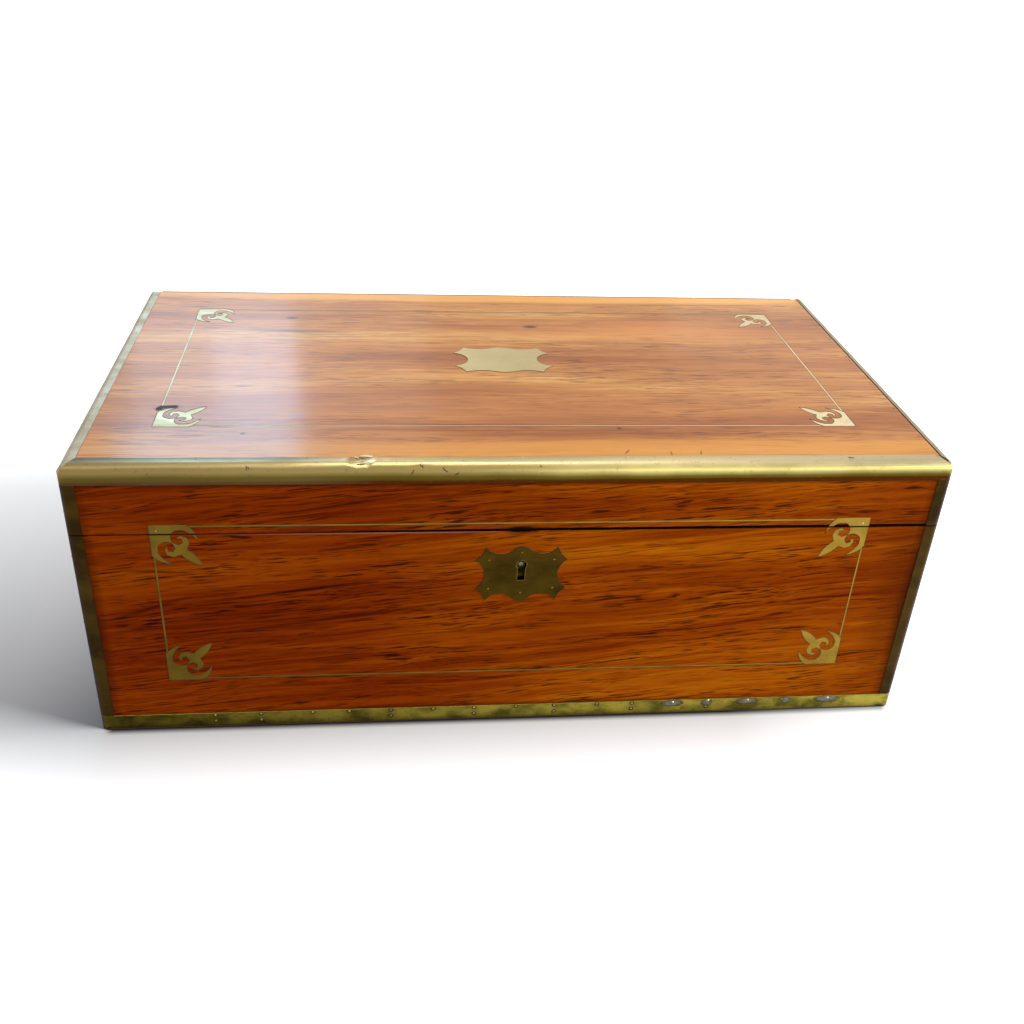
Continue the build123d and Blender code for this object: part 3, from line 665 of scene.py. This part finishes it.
def screw_heads():
    """Countersunk screw heads: a flat disc with a slot cut across it."""
    tree, given = new_tree("slotted_screws", Radius="Float", Rise="Float", Slot="Float", Finish="Material")
    disc = put(
        tree, "GeometryNodeMeshCylinder", {"Vertices": 20, "Radius": given["Radius"], "Depth": 1.6 * MM}
    )
    lift = put(tree, "ShaderNodeMath", {0: given["Rise"], 1: 0.8 * MM}, operation="SUBTRACT")
    lift = put(tree, "ShaderNodeCombineXYZ", {"Z": lift})
    disc = put(tree, "GeometryNodeTransform", {"Geometry": disc, "Translation": lift})
    size = put(tree, "ShaderNodeCombineXYZ", {"X": 30 * MM, "Y": given["Slot"], "Z": 1.0 * MM})
    groove = put(tree, "GeometryNodeMeshCube", {"Size": size})
    top = put(tree, "ShaderNodeCombineXYZ", {"Z": given["Rise"]})
    groove = put(tree, "GeometryNodeTransform", {"Geometry": groove, "Translation": top})
    head = put(tree, "GeometryNodeMeshBoolean", {"Mesh 1": disc, "Mesh 2": groove}, operation="DIFFERENCE")
    return set_heads(tree, given, head)


def bead_lines():
    """A thin round bead along every edge it is given."""
    tree, given = new_tree("bead_along_edges", Radius="Float", Finish="Material")
    path = put(tree, "GeometryNodeMeshToCurve", {"Mesh": given["Geometry"]})
    ring = put(tree, "GeometryNodeCurvePrimitiveCircle", {"Resolution": 5, "Radius": given["Radius"]})
    bead = put(tree, "GeometryNodeCurveToMesh", {"Curve": path, "Profile Curve": ring, "Fill Caps": True})
    return end_tree(tree, given, bead)


def points_mesh(spots):
    """A mesh of points with their aim, from (place in mm, aim) pairs; turns are fixed by the place."""
    mesh = bpy.data.meshes.new("spots")
    mesh.from_pydata([mm(*place) for place, _ in spots], [], [])
    aims = mesh.attributes.new("aim", "FLOAT_VECTOR", "POINT")
    aims.data.foreach_set("vector", [value for _, aim in spots for value in aim])
    turns = mesh.attributes.new("turn", "FLOAT", "POINT")
    turns.data.foreach_set("value", [math.sin(sum(place) * 12.9) * math.pi for place, _ in spots])
    return mesh


pins_tree, screws_tree, bead_tree = dome_heads(), screw_heads(), bead_lines()


def pins(name, spots, body, radius=1.1, rise=0.5, finish=pin_brass):
    """Domed pins on (place in mm, aim) pairs, their sizes in mm."""
    sizes = {"Radius": radius * MM, "Rise": rise * MM, "Finish": finish}
    return worked(name, points_mesh(spots), pins_tree, sizes, body)


def screws(name, spots, body, radius=2.4, rise=0.12, gap=0.7):
    """Slotted screws on (place in mm, aim) pairs, their sizes in mm."""
    sizes = {"Radius": radius * MM, "Rise": rise * MM, "Slot": gap * MM, "Finish": fitting_brass}
    return worked(name, points_mesh(spots), screws_tree, sizes, body)


def outline_mesh(node, aim, level, sink=0.0, skip=None):
    """The edges round the face of a node that lies at that level along aim, moved in by sink."""
    shape = bmesh.new()
    shape.from_mesh(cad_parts[node].data)
    bmesh.ops.remove_doubles(shape, verts=shape.verts, dist=1e-6)
    shape.normal_update()
    aim = Vector(aim)
    faces = {
        face
        for face in shape.faces
        if face.normal.dot(aim) > 0.99 and abs(face.calc_center_median().dot(aim) - level * MM) < 0.05 * MM
    }
    rims = [
        edge
        for edge in shape.edges
        if sum(face in faces for face in edge.link_faces) == 1
        and not (skip and skip((edge.verts[0].co + edge.verts[1].co) / 2 / MM))
    ]
    corners = sorted({corner for edge in rims for corner in edge.verts}, key=lambda corner: corner.index)
    number = {corner: place for place, corner in enumerate(corners)}
    mesh = bpy.data.meshes.new("rim")
    mesh.from_pydata(
        [tuple(corner.co - aim * sink * MM) for corner in corners],
        [(number[edge.verts[0]], number[edge.verts[1]]) for edge in rims],
        [],
    )
    shape.free()
    return mesh


def bead(name, start, end, radius, body, slot, finish=filler):
    """A thin bead from one place in mm to another."""
    line = bpy.data.meshes.new(name + "_line")
    line.from_pydata([mm(*start), mm(*end)], [(0, 1)], [])
    return worked(name, line, bead_tree, {"Radius": radius * MM, "Finish": finish}, body)


def outline(name, node, aim, level, body, radius=0.22, sink=0.0, skip=None, finish=filler, slot="case_wood"):
    """A thin bead round the face of a node that lies at that level along aim, in mm."""
    sizes = {"Radius": radius * MM, "Finish": finish}
    return worked(name, outline_mesh(node, aim, level, sink, skip), bead_tree, sizes, body)


# Dark wax round the inlays and plates
outline("top_inlay_filler", "top_corner_inlays", UP, HEIGHT - PROUD, "lid", 0.18)
outline("top_string_filler", "top_stringing", UP, HEIGHT - PROUD, "lid", 0.1)
outline("front_inlay_filler", "base_corner_inlays", OUT, DEPTH / 2 - PROUD, "base", 0.14)
outline("front_string_filler", "base_stringing", OUT, DEPTH / 2 - PROUD, "base", 0.1)
outline("lid_inlay_filler", "lid_corner_inlays", OUT, DEPTH / 2 - PROUD, "lid", 0.14)
outline("lid_string_filler", "lid_stringing", OUT, DEPTH / 2 - PROUD, "lid", 0.1)
outline("name_plate_filler", "name_plate", UP, HEIGHT, "lid", 0.25, PROUD)


def in_keyhole(point):
    """Whether a place in mm is on the keyhole's edge."""
    return abs(point.x - LOCK_X) < 6 and KEYHOLE_Z - 14 < point.z < KEYHOLE_Z + 6


def off_keyhole(point):
    """Whether a place in mm is off the keyhole's edge."""
    return not in_keyhole(point)


plate = "escutcheon", OUT, DEPTH / 2, "base"
outline("escutcheon_filler", *plate, 0.28, PROUD, in_keyhole)
# the keyhole's lighter edge: rubbed, and partly a painted highlight of its bevel
outline("keyhole_lip", *plate, 0.16, 0.08, off_keyhole, keyhole_brass, "brass_inlay")

# Grime along the back edge of the top, a dark bead under the foot edging that is a painted contact shadow,
# and a bright bead on the foot's upper edge that is its rubbed arris and a painted highlight
arris = END - 9, BACK - 0.9, HEIGHT - 0.55
bead("back_edge_grime", (-arris[0], *arris[1:]), arris, 0.45, "lid", "case_wood")
bead("foot_painted_contact_shade", (4 - END, FRONT + 0.1, 0.5), (END - 4, FRONT + 0.1, 0.5), 0.5, "base", "brass_edging")
arris = END - 9, FRONT + 0.05, 10.85
bead("foot_arris_shine", (-arris[0], *arris[1:]), arris, 0.22, "base", "brass_edging", foot_pin_brass)

# Pins along the brass edging
foot_upper = [-186, -158, -126, -103, -77, -50, -24, 3, 28, 56, 79, 106, 129, 156, 180, 211]
foot_lower = [-186, -158, -77, -24, 28, 79, 129]
spots = [((x, FRONT, 9.4), OUT) for x in foot_upper] + [((x, FRONT, 4.6), OUT) for x in foot_lower]
spots += [((-235 + 27.6 * step, BACK, 9.2 if step % 2 else 4.8), (0, 1, 0)) for step in range(18)]
for side in (-1, 1):
    spots += [((side * END, -126 + 28 * step, 9.2 if step % 2 else 4.8), (side, 0, 0)) for step in range(10)]
pins("foot_edging_pins", spots, "base", radius=0.95, rise=0.5, finish=foot_pin_brass)
# dark rings round each pin: the dirt that wiping leaves, and painted shade round the heads
pins("foot_pin_dirt_and_shade", spots, "base", radius=1.6, rise=0.16, finish=filler)
# pins showing through the solder, their heads in the pale top-inlay brass as a painted highlight
spots = [((x, FRONT, z), OUT) for x, z in ((106.5, 9.2), (130, 10), (157, 9.4), (211.5, 9.4))]
pins("foot_solder_pins", spots, "base", radius=0.8, rise=0.8, finish=top_inlay_brass)

edge_x = END - 4.4
spots = [((x, FRONT, z), OUT) for x in (-edge_x, edge_x) for z in (20, 76)]
spots += [((x, BACK, z), (0, 1, 0)) for x in (-edge_x, edge_x) for z in (22, 52, 84)]
for side in (-1, 1):
    spots += [((side * END, -138.6, z), (side, 0, 0)) for z in (34, 80, 126)]
    spots += [((side * END, 138.6, z), (side, 0, 0)) for z in (24, 54, 84)]
pins("base_strap_pins", spots, "base", radius=0.8, rise=0.3, finish=strap_brass)

spots = [((x, BACK, z), (0, 1, 0)) for x in (-edge_x, edge_x) for z in (104, 150)]
for side in (-1, 1):
    spots += [((side * END, -138.6, 156), (side, 0, 0))]
    spots += [((side * END, 138.6, z), (side, 0, 0)) for z in (106, 152)]
    spots += [((side * END, y, 176.2), (side, 0, 0)) for y in range(-118, 140, 32)]
    spots += [((side * (END - 6.2), y, HEIGHT), UP) for y in range(-104, 140, 40)]
pins("lid_edging_pins", spots, "lid", radius=0.75, rise=0.25, finish=end_brass)

spots = [((x, FRONT, 175.3), OUT) for x in range(-226, 240, 52)]
spots += [((x, FRONT + 12.2, HEIGHT), UP) for x in range(-244, 250, 61)]
pins("nosing_pins", spots, "lid", radius=0.7, rise=0.2, finish=nosing_brass)

# Pins of the plates and the inlays
spots = [((LOCK_X + x, FRONT, ESCUTCHEON_Z + z), OUT) for x in (-19.4, 19.4) for z in (-10.2, 10.2)]
spots += [((LOCK_X, FRONT, ESCUTCHEON_Z + z), OUT) for z in (15.2, -13.5)]
pins("escutcheon_pins", spots, "base", 0.6, 0.3, front_inlay_brass)
corners = [(-211, 37.6, 1, 1), (211, 37.6, -1, 1), (-211, 148.5, 1, -1), (211, 148.5, -1, -1)]
pin_marks = [(4, 4), (6, 17.5), (17.5, 6)]
spots = [
    ((x + right * across, FRONT + PROUD, z + up * along), OUT)
    for x, z, right, up in corners
    for across, along in pin_marks
    if abs(z + up * along - SPLIT_FRONT) > 2
]
base_spots = [spot for spot in spots if spot[0][2] < SPLIT_FRONT]
pins("front_inlay_pins", base_spots, "base", 0.35, 0.03, front_inlay_brass)
lid_spots = [spot for spot in spots if spot[0][2] > SPLIT_FRONT]
corners = [(-214, -90.4, 1, 1), (214, -90.4, -1, 1), (-214, 105.6, 1, -1), (214, 105.6, -1, -1)]
lid_spots += [
    ((x + right * across, y + back * along, HEIGHT - PROUD), UP)
    for x, y, right, back in corners
    for across, along in pin_marks
]
pins("lid_inlay_pins", lid_spots, "lid", 0.35, 0.03, top_inlay_brass)


def on_slope(x, y, z):
    """A place given in the joint's frame, in millimetres of the case's frame."""
    return tuple(SLOPE @ Vector((x, y, z)))


rise_aim = tuple(SLOPE.to_3x3() @ Vector(UP))
fall_aim = tuple(SLOPE.to_3x3() @ Vector((0, 0, -1)))
screw_x = [side * 150 + step for side in (-1, 1) for step in (-22, 0, 22)]
screws("base_hinge_screws", [(on_slope(x, -6.6, -0.2), rise_aim) for x in screw_x], "base", radius=2.2)
screws("lid_hinge_screws", [(on_slope(x, -6.6, 0.2), fall_aim) for x in screw_x], "lid", radius=2.2)
flap_x = [-135 + 45 * step for step in range(7)]
for side, aim, fixed, moving in ((-1, fall_aim, "base", "base_flap"), (1, rise_aim, "lid", "lid_flap")):
    # the leaves' faces look into the joint
    face = tuple(-value for value in aim)
    level = side * FLAP_FACE
    still = [(on_slope(x, FLAP_AXIS + 4.9, level), face) for x in flap_x if abs(abs(x) - 50) > 2]
    screws(f"{fixed}_flap_rail_screws", still, fixed, radius=1.5, rise=0.1, gap=0.5)
    swung = [(on_slope(x, FLAP_AXIS - 4.9, level), face) for x in flap_x]
    screws(f"{moving}_screws", swung, moving, radius=1.5, rise=0.1, gap=0.5)
spots = [(on_slope(LOCK_X + x, -282.0, -0.2), rise_aim) for x in (-29, 29)]
screws("selvedge_screws", spots, "base", radius=2.0)
spots = []
for side in (-1, 1):
    spots += [((side * END, y, z), (side, 0, 0)) for y in (-44, 44) for z in (42, 74)]
screws("handle_plate_screws", spots, "base", radius=2.2)


# ---- strips that have been knocked


def knocked(name, node, steps, shift, finish, close=()):
    """A copy of a brass strip, cut at regular steps in mm and at the close places along X, with every
    point moved by shift(point in mm)."""
    shape = bmesh.new()
    shape.from_mesh(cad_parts[node].data)
    bmesh.ops.remove_doubles(shape, verts=shape.verts, dist=1e-6)
    low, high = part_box(node)
    cuts = [(0, x * MM) for x in close]
    for axis, step in enumerate(steps):
        if step:
            count = int((high[axis] - low[axis]) / (step * MM))
            cuts += [
                (axis, low[axis] + (high[axis] - low[axis]) * number / count) for number in range(1, count)
            ]
    for axis, level in cuts:
        place, facing = Vector((0, 0, 0)), Vector((0, 0, 0))
        place[axis], facing[axis] = level, 1.0
        every = list(shape.verts) + list(shape.edges) + list(shape.faces)
        bmesh.ops.bisect_plane(shape, geom=every, plane_co=place, plane_no=facing, dist=1e-7)
    for corner in shape.verts:
        corner.co += Vector(shift(corner.co / MM)) * MM
    mesh = bpy.data.meshes.new(name)
    shape.to_mesh(mesh)
    shape.free()
    piece = keep(name, mesh, "lid" if node.startswith("lid") else "base", finish, 40.0)
    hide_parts(node)
    return piece


def swell(point, size, seed):
    """Smooth noise from -1 to 1 with that size in mm."""
    return noise.noise(Vector(point) / size + Vector((seed, 0.37, 0.71)))


def bump_at(point, centre, radius):
    """1 at the centre, falling smoothly to 0 at the radius."""
    away = (Vector(point) - Vector(centre)).length / radius
    return (1 - away * away) ** 2 if away < 1 else 0.0


def nosing_shift(point):
    """How far knocks and wear have moved a point of the nosing."""
    x = point.x
    pull = 0.16 * swell((x, 0, 0), 34, 1.0) + 0.09 * swell((x, point.z, 0), 11, 2.0)
    # a blow on the top edge: a bowl with a raised rim, and creases across it
    away = Vector(((point.x + 92) / 7.5, (point.y + 134.5) / 6.0, (point.z - 183.5) / 5.0)).length
    fold = -0.62 * max(0.0, 1 - away * away) + 0.07 * math.exp(-(((away - 1.2) / 0.3) ** 2))
    fold += 0.2 * bump_at(point, (-92, -135, 183.5), 9.0) * swell(point, 3.0, 7.0)
    nicks = ((-208, -142, 180), (-58, -139, 182), (-63, -142, 180), (-39, -142, 180))
    nick = sum(bump_at(point, place, 2.6) for place in nicks)
    outward = max(pull * 0.5 + fold - 0.4 * nick, -0.8)
    edge = 0.9 * bump_at(point, (-93, -129.5, 184), 12.0) * math.sin((point.x + 93) * 0.55)
    # the front moves out along -Y, the top up, the round between them both ways
    front = min(max((-130.5 - point.y) / 12.0, 0.0), 1.0)
    top = min(max((point.z - 174.5) / 9.0, 0.0), 1.0)
    return (0, -outward * front + edge * (1 - front), outward * top)


def end_shift(point):
    """How far wear and a file have moved a point of the end edging."""
    side = math.copysign(1, point.x)
    wave = 0.28 * swell((side * 9, point.y, 0), 31, 3.0) + 0.14 * swell((side, point.y, point.z), 12, 4.0)
    # the right-hand strip was filed narrower over the top
    filed = (END - point.x) * SLIP / 8 if side > 0 and point.z > HEIGHT - 1.5 else 0.0
    return (side * wave * 0.3 + filed, 0, wave * 0.6 if point.z > 176 else 0)


def foot_shift(point):
    """How far a point of the front foot edging has been pushed in or out."""
    wave = 0.22 * swell((point.x, point.z * 2, 0), 13, 5.0)
    return (0, wave if point.z > 0.5 else 0, 0)


dent_cuts = [-106 + 0.8 * step for step in range(34)]
knocked("nosing_knocked", "lid_front_nosing", (4.0, 2.0, 2.0), nosing_shift, nosing_brass, dent_cuts)
knocked("end_edging_knocked", "lid_end_edging", (3.0, 5.0, 3.0), end_shift, end_brass)
knocked("foot_edging_front_worn", "foot_edging_front", (5.0, 0, 2.5), foot_shift, foot_brass)

# A slip of wood fills the place of the part filed off, level with the top board
wood_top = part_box("lid_top_board")[1][2] / MM
ends = (FRONT + 7.0, BACK - 1.6)
slip = bmesh.new()
made = bmesh.ops.create_cube(slip, size=1.0)["verts"]
for corner in made:
    x = END - 8.2 + (corner.co.x + 0.5) * (SLIP - 0.1)
    z = wood_top - (0.5 - corner.co.z) * 0.9
    corner.co = Vector((x, ends[0] + (corner.co.y + 0.5) * (ends[1] - ends[0]), z)) * MM
mesh = bpy.data.meshes.new("lid_right_slip")
slip.to_mesh(mesh)
slip.free()
keep("lid_right_slip", mesh, "lid", top_wood)
x, z = END - 8.0 + SLIP, wood_top + 0.05
bead("slip_edge_dirt", (x, FRONT + 9, z), (x, BACK - 1, z), 0.35, "lid", "case_wood")

# Dark lines drawn as (x, turn round the bend in degrees): painted shade in the crease under the dent's lip,
# and dirt in the nicks
scars = [
    # painted shade in the crease under the dent's lip
    [(-94.4, 73), (-92.2, 71), (-90.0, 72)],
    [(-64.0, 26), (-62.6, 45)],
    [(-59.0, 69), (-58.4, 60)],
    [(-57.7, 65), (-57.4, 54)],
    [(-46.2, 54), (-45.4, 44), (-43.8, 36)],
    [(-39.8, 24), (-37.4, 32)],
    [(-154.9, 66), (-154.6, 46)],
    [(-153.9, 60), (-153.5, 52)],
    [(9.0, 60), (9.8, 56)],
    [(-208.4, 36), (-208.0, 33)],
    [(193.4, 104), (196.4, 98)],
]
corners, lines = [], []
for scar in scars:
    for step, (x, turn) in enumerate(scar):
        bend = math.radians(min(turn, 90))
        back = max(turn - 90, 0) * 0.15
        y = FRONT + BEND * (1 - math.cos(bend)) + back
        place = Vector((x, y, HEIGHT - BEND + BEND * math.sin(bend)))
        corners.append(mm(*(place + Vector(nosing_shift(place)))))
        if step:
            lines.append((len(corners) - 2, len(corners) - 1))
mesh = bpy.data.meshes.new("scars")
mesh.from_pydata(corners, lines, [])
worked("nosing_scars", mesh, bead_tree, {"Radius": 0.3 * MM, "Finish": filler}, "lid")


def lumps(name, spots, body, finish):
    """Low smooth lumps, from (place in mm, half sizes in mm, turn about Z in degrees)."""
    shape = bmesh.new()
    for place, half, turn in spots:
        ball = bmesh.ops.create_uvsphere(shape, u_segments=20, v_segments=10, radius=1.0)["verts"]
        for corner in ball:
            rough = 1 + 0.18 * swell(corner.co * 3 + Vector((place[0], 0, 0)), 1.0, 6.0)
            corner.co = Vector(component * size * rough for component, size in zip(corner.co, half))
            corner.co = (Matrix.Rotation(math.radians(turn), 3, "Z") @ corner.co + Vector(place)) * MM
    # corners and faces go in by place, because the ball gives them in another order on each run
    corners = sorted(shape.verts, key=lambda corner: tuple(corner.co))
    number = {corner: place for place, corner in enumerate(corners)}
    faces = []
    for face in shape.faces:
        ring = [number[corner] for corner in face.verts]
        first = ring.index(min(ring))
        faces.append(ring[first:] + ring[:first])
    mesh = bpy.data.meshes.new(name)
    mesh.from_pydata([tuple(corner.co) for corner in corners], [], sorted(faces))
    shape.free()
    return keep(name, mesh, body, finish, 60.0)


# The burr thrown up behind the dent, a dark lump in the dent's pit that is painted shade of the hollow, and
# black wax where a piece is missing above an inlay
lumps(
    "nosing_burr",
    [((-89.6, -128.6, 184.0), (4.0, 1.4, 0.7), 8), ((-94.8, -130.2, 184.0), (1.8, 0.8, 0.5), -20)],
    "lid",
    top_inlay_brass,
)
lumps("nosing_dent_painted_shade", [((-92.0, -133.6, 183.0), (2.2, 1.1, 0.4), 6)], "lid", filler)
lumps(
    "inlay_gap_wax",
    [((-213.6, -64.6, 183.7), (2.2, 3.6, 0.25), -20), ((-208.4, -62.4, 183.7), (5.6, 1.6, 0.22), 6)],
    "lid",
    filler,
)

# Grey solder left by an old repair, in low lumps on the foot edging
patches = (106, 8), (129, 4), (156, 8), (183, 3.2), (211, 9.5)
spots = [((x, FRONT + 0.1, 8.4), (wide, 0.5, 3.0), 0) for x, wide in patches]
lumps("solder_patches", spots, "base", solder)


# ---- gilt lines on the leather


def gilt_frame(name, side, front, back, body):
    """Three tooled lines round a flap's leather, the middle one wider."""
    half = END - 27.1
    shape = bmesh.new()
    face = side * FLAP_FACE
    lift = -side * 0.06
    for inset, wide in ((7.0, 0.5), (9.5, 1.6), (12.6, 0.5)):
        outer = [(-half + inset, front + inset), (half - inset, front + inset)]
        outer += [(half - inset, back - inset), (-half + inset, back - inset)]
        middle = (front + back) / 2
        inner = [(x - math.copysign(wide, x), y - math.copysign(wide, y - middle)) for x, y in outer]
        low, high = face - lift, face + lift
        rows = [
            [shape.verts.new(Vector(on_slope(x, y, level)) * MM) for x, y in ring]
            for ring, level in ((outer, low), (outer, high), (inner, high), (inner, low))
        ]
        for first, second in zip(rows, rows[1:] + rows[:1]):
            for number in range(4):
                after = (number + 1) % 4
                shape.faces.new((first[number], first[after], second[after], second[number]))
    bmesh.ops.recalc_face_normals(shape, faces=shape.faces)
    mesh = bpy.data.meshes.new(name)
    shape.to_mesh(mesh)
    shape.free()
    keep(name, mesh, body, gilt)


def slope_run(node):
    """Lowest and highest distance along the joint of a node, in mm."""
    turned = [SLOPE.inverted() @ (corner.co / MM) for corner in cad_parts[node].data.vertices]
    return min(corner.y for corner in turned), max(corner.y for corner in turned)


gilt_frame("base_leather_gilding", -1, *slope_run("base_flap_leather"), "base_flap")
gilt_frame("lid_leather_gilding", 1, *slope_run("lid_flap_leather"), "lid_flap")


# ---- room, lamps and camera


def lamp(name, place, aim, size, power, tint=(1, 1, 1)):
    """A soft rectangular lamp in metres and watts."""
    data = bpy.data.lights.new(name, "AREA")
    data.color = tint
    data.shape = "RECTANGLE"
    data.size, data.size_y = size
    data.energy = power
    item = bpy.data.objects.new(name, data)
    item.location = place
    item.rotation_euler = (Vector(aim) - Vector(place)).to_track_quat("-Z", "Y").to_euler()
    bpy.context.scene.collection.objects.link(item)


# One broad key light from the right, and a window and pale walls behind that the polish mirrors
COOL = (0.55, 0.74, 1.0)
lamp("key", (2.15, -0.6, 1.8), (0, 0, 0.1), (1.1, 1.1), 115)
lamp("window_pane", (-0.355, 1.5, 0.85), (-0.16, 0, 0.184), (0.17, 0.2), 0.65, COOL)
lamp("window", (-0.44, 1.5, 0.88), (-0.16, 0, 0.184), (0.34, 0.34), 1.6, COOL)
lamp("wall", (-0.57, 1.6, 0.88), (-0.2, 0, 0.184), (0.56, 0.66), 0.9, (0.45, 0.7, 1.0))
lamp("wall_high", (-0.49, 1.6, 1.11), (-0.16, 0, 0.184), (0.4, 0.2), 2.6, (0.14, 0.62, 1.0))
lamp("wall_middle", (-0.14, 1.6, 0.88), (-0.1, 0, 0.184), (0.3, 0.6), 0.6, (1.0, 0.96, 0.92))
lamp("wall_right", (0.86, 1.6, 0.7), (0.2, 0, 0.184), (0.6, 0.36), 0.8, (1.0, 0.86, 0.76))
lamp("ceiling", (-0.03, 0.53, 1.5), (0, FRONT * MM, 0.184), (0.46, 0.4), 4.0, (1.0, 0.97, 0.93))


def seen_white(tree):
    """1 for rays from the camera, in reflections and through glass, else 0."""
    kinds = "Camera", "Glossy", "Transmission"
    rays = [put(tree, "ShaderNodeLightPath", out=f"Is {kind} Ray") for kind in kinds]
    both = put(tree, "ShaderNodeMath", {0: rays[0], 1: rays[1]}, operation="MAXIMUM")
    return put(tree, "ShaderNodeMath", {0: both, 1: rays[2]}, operation="MAXIMUM")


world = bpy.data.worlds.new("pale_room")
bpy.context.scene.world = world
world.use_nodes = True
tree = world.node_tree
strength = put(tree, "ShaderNodeMapRange", {"Value": seen_white(tree), 3: 0.27, 4: 1.0})
background = tree.nodes["Background"]
background.inputs["Color"].default_value = (1, 1, 1, 1)
tree.links.new(strength, background.inputs["Strength"])

# Painted pale floor, matt, that keeps the box's shadow; its colour darkens round the box's footprint as a
# painted contact shadow
material, tree, shader = new_finish("pale_floor", Roughness=0.9, Specular_IOR_Level=0.1)
shader.inputs["Emission Color"].default_value = (1, 1, 1, 1)
place = put(tree, "ShaderNodeTexCoord", out="Object")
away = put(tree, "ShaderNodeVectorMath", {0: place}, operation="ABSOLUTE")
# painted light: a glow for camera rays lifts the floor to white away from the box, fastest in front and at
# the right, slower elsewhere, so that the box's shadow fades out
right = run_along(tree, place, END - 110, END + 190)
side = run_along(tree, away, END, END + 1500)
near = run_along(tree, place, FRONT, FRONT - 100, "Y")
behind = run_along(tree, place, FRONT, FRONT + 600, "Y")
glow = put(tree, "ShaderNodeMath", {0: side, 1: near}, operation="ADD")
glow = put(tree, "ShaderNodeMath", {0: glow, 1: behind}, operation="ADD")
glow = put(tree, "ShaderNodeMath", {0: glow, 1: right}, operation="ADD", use_clamp=True)
glow = put(tree, "ShaderNodeMath", {0: seen_white(tree), 1: glow}, operation="MULTIPLY")
# painted contact shadow: the floor's colour darkens over the last few millimetres round the box's footprint,
# where the rounded foot meets it
beyond = put(tree, "ShaderNodeVectorMath", {0: away, 1: mm(END - 7, BACK, 0)}, operation="SUBTRACT")
beyond = put(tree, "ShaderNodeVectorMath", {0: beyond, 1: (0, 0, 0)}, operation="MAXIMUM")
beyond = put(tree, "ShaderNodeVectorMath", {0: beyond}, "Value", operation="LENGTH")
unshaded_share = put(
    tree, "ShaderNodeMapRange", {"Value": beyond, 2: 6 * MM}, interpolation_type="SMOOTHSTEP"
)
colour = put(tree, "ShaderNodeMix", {0: unshaded_share, 6: linear("#2c2824"), 7: linear("#c5c5c6")}, 2, **BLEND)
join(tree, shader, Base_Color=colour, Emission_Strength=glow)
bpy.ops.mesh.primitive_plane_add(size=60, location=(0, 0, -0.0002))
floor = bpy.context.object
floor.name = "floor"
floor.data.materials.append(material)

view = bpy.data.cameras.new("view")
view.lens = 38.726
view.clip_end = 100
camera = bpy.data.objects.new("view", view)
camera.location = (-0.07519, -0.68551, 0.47706)
camera.rotation_euler = [math.radians(turn) for turn in (59.46246, -2.69915, -5.64490)]
bpy.context.scene.collection.objects.link(camera)
bpy.context.scene.camera = camera
bpy.context.scene.view_settings.view_transform = "Standard"
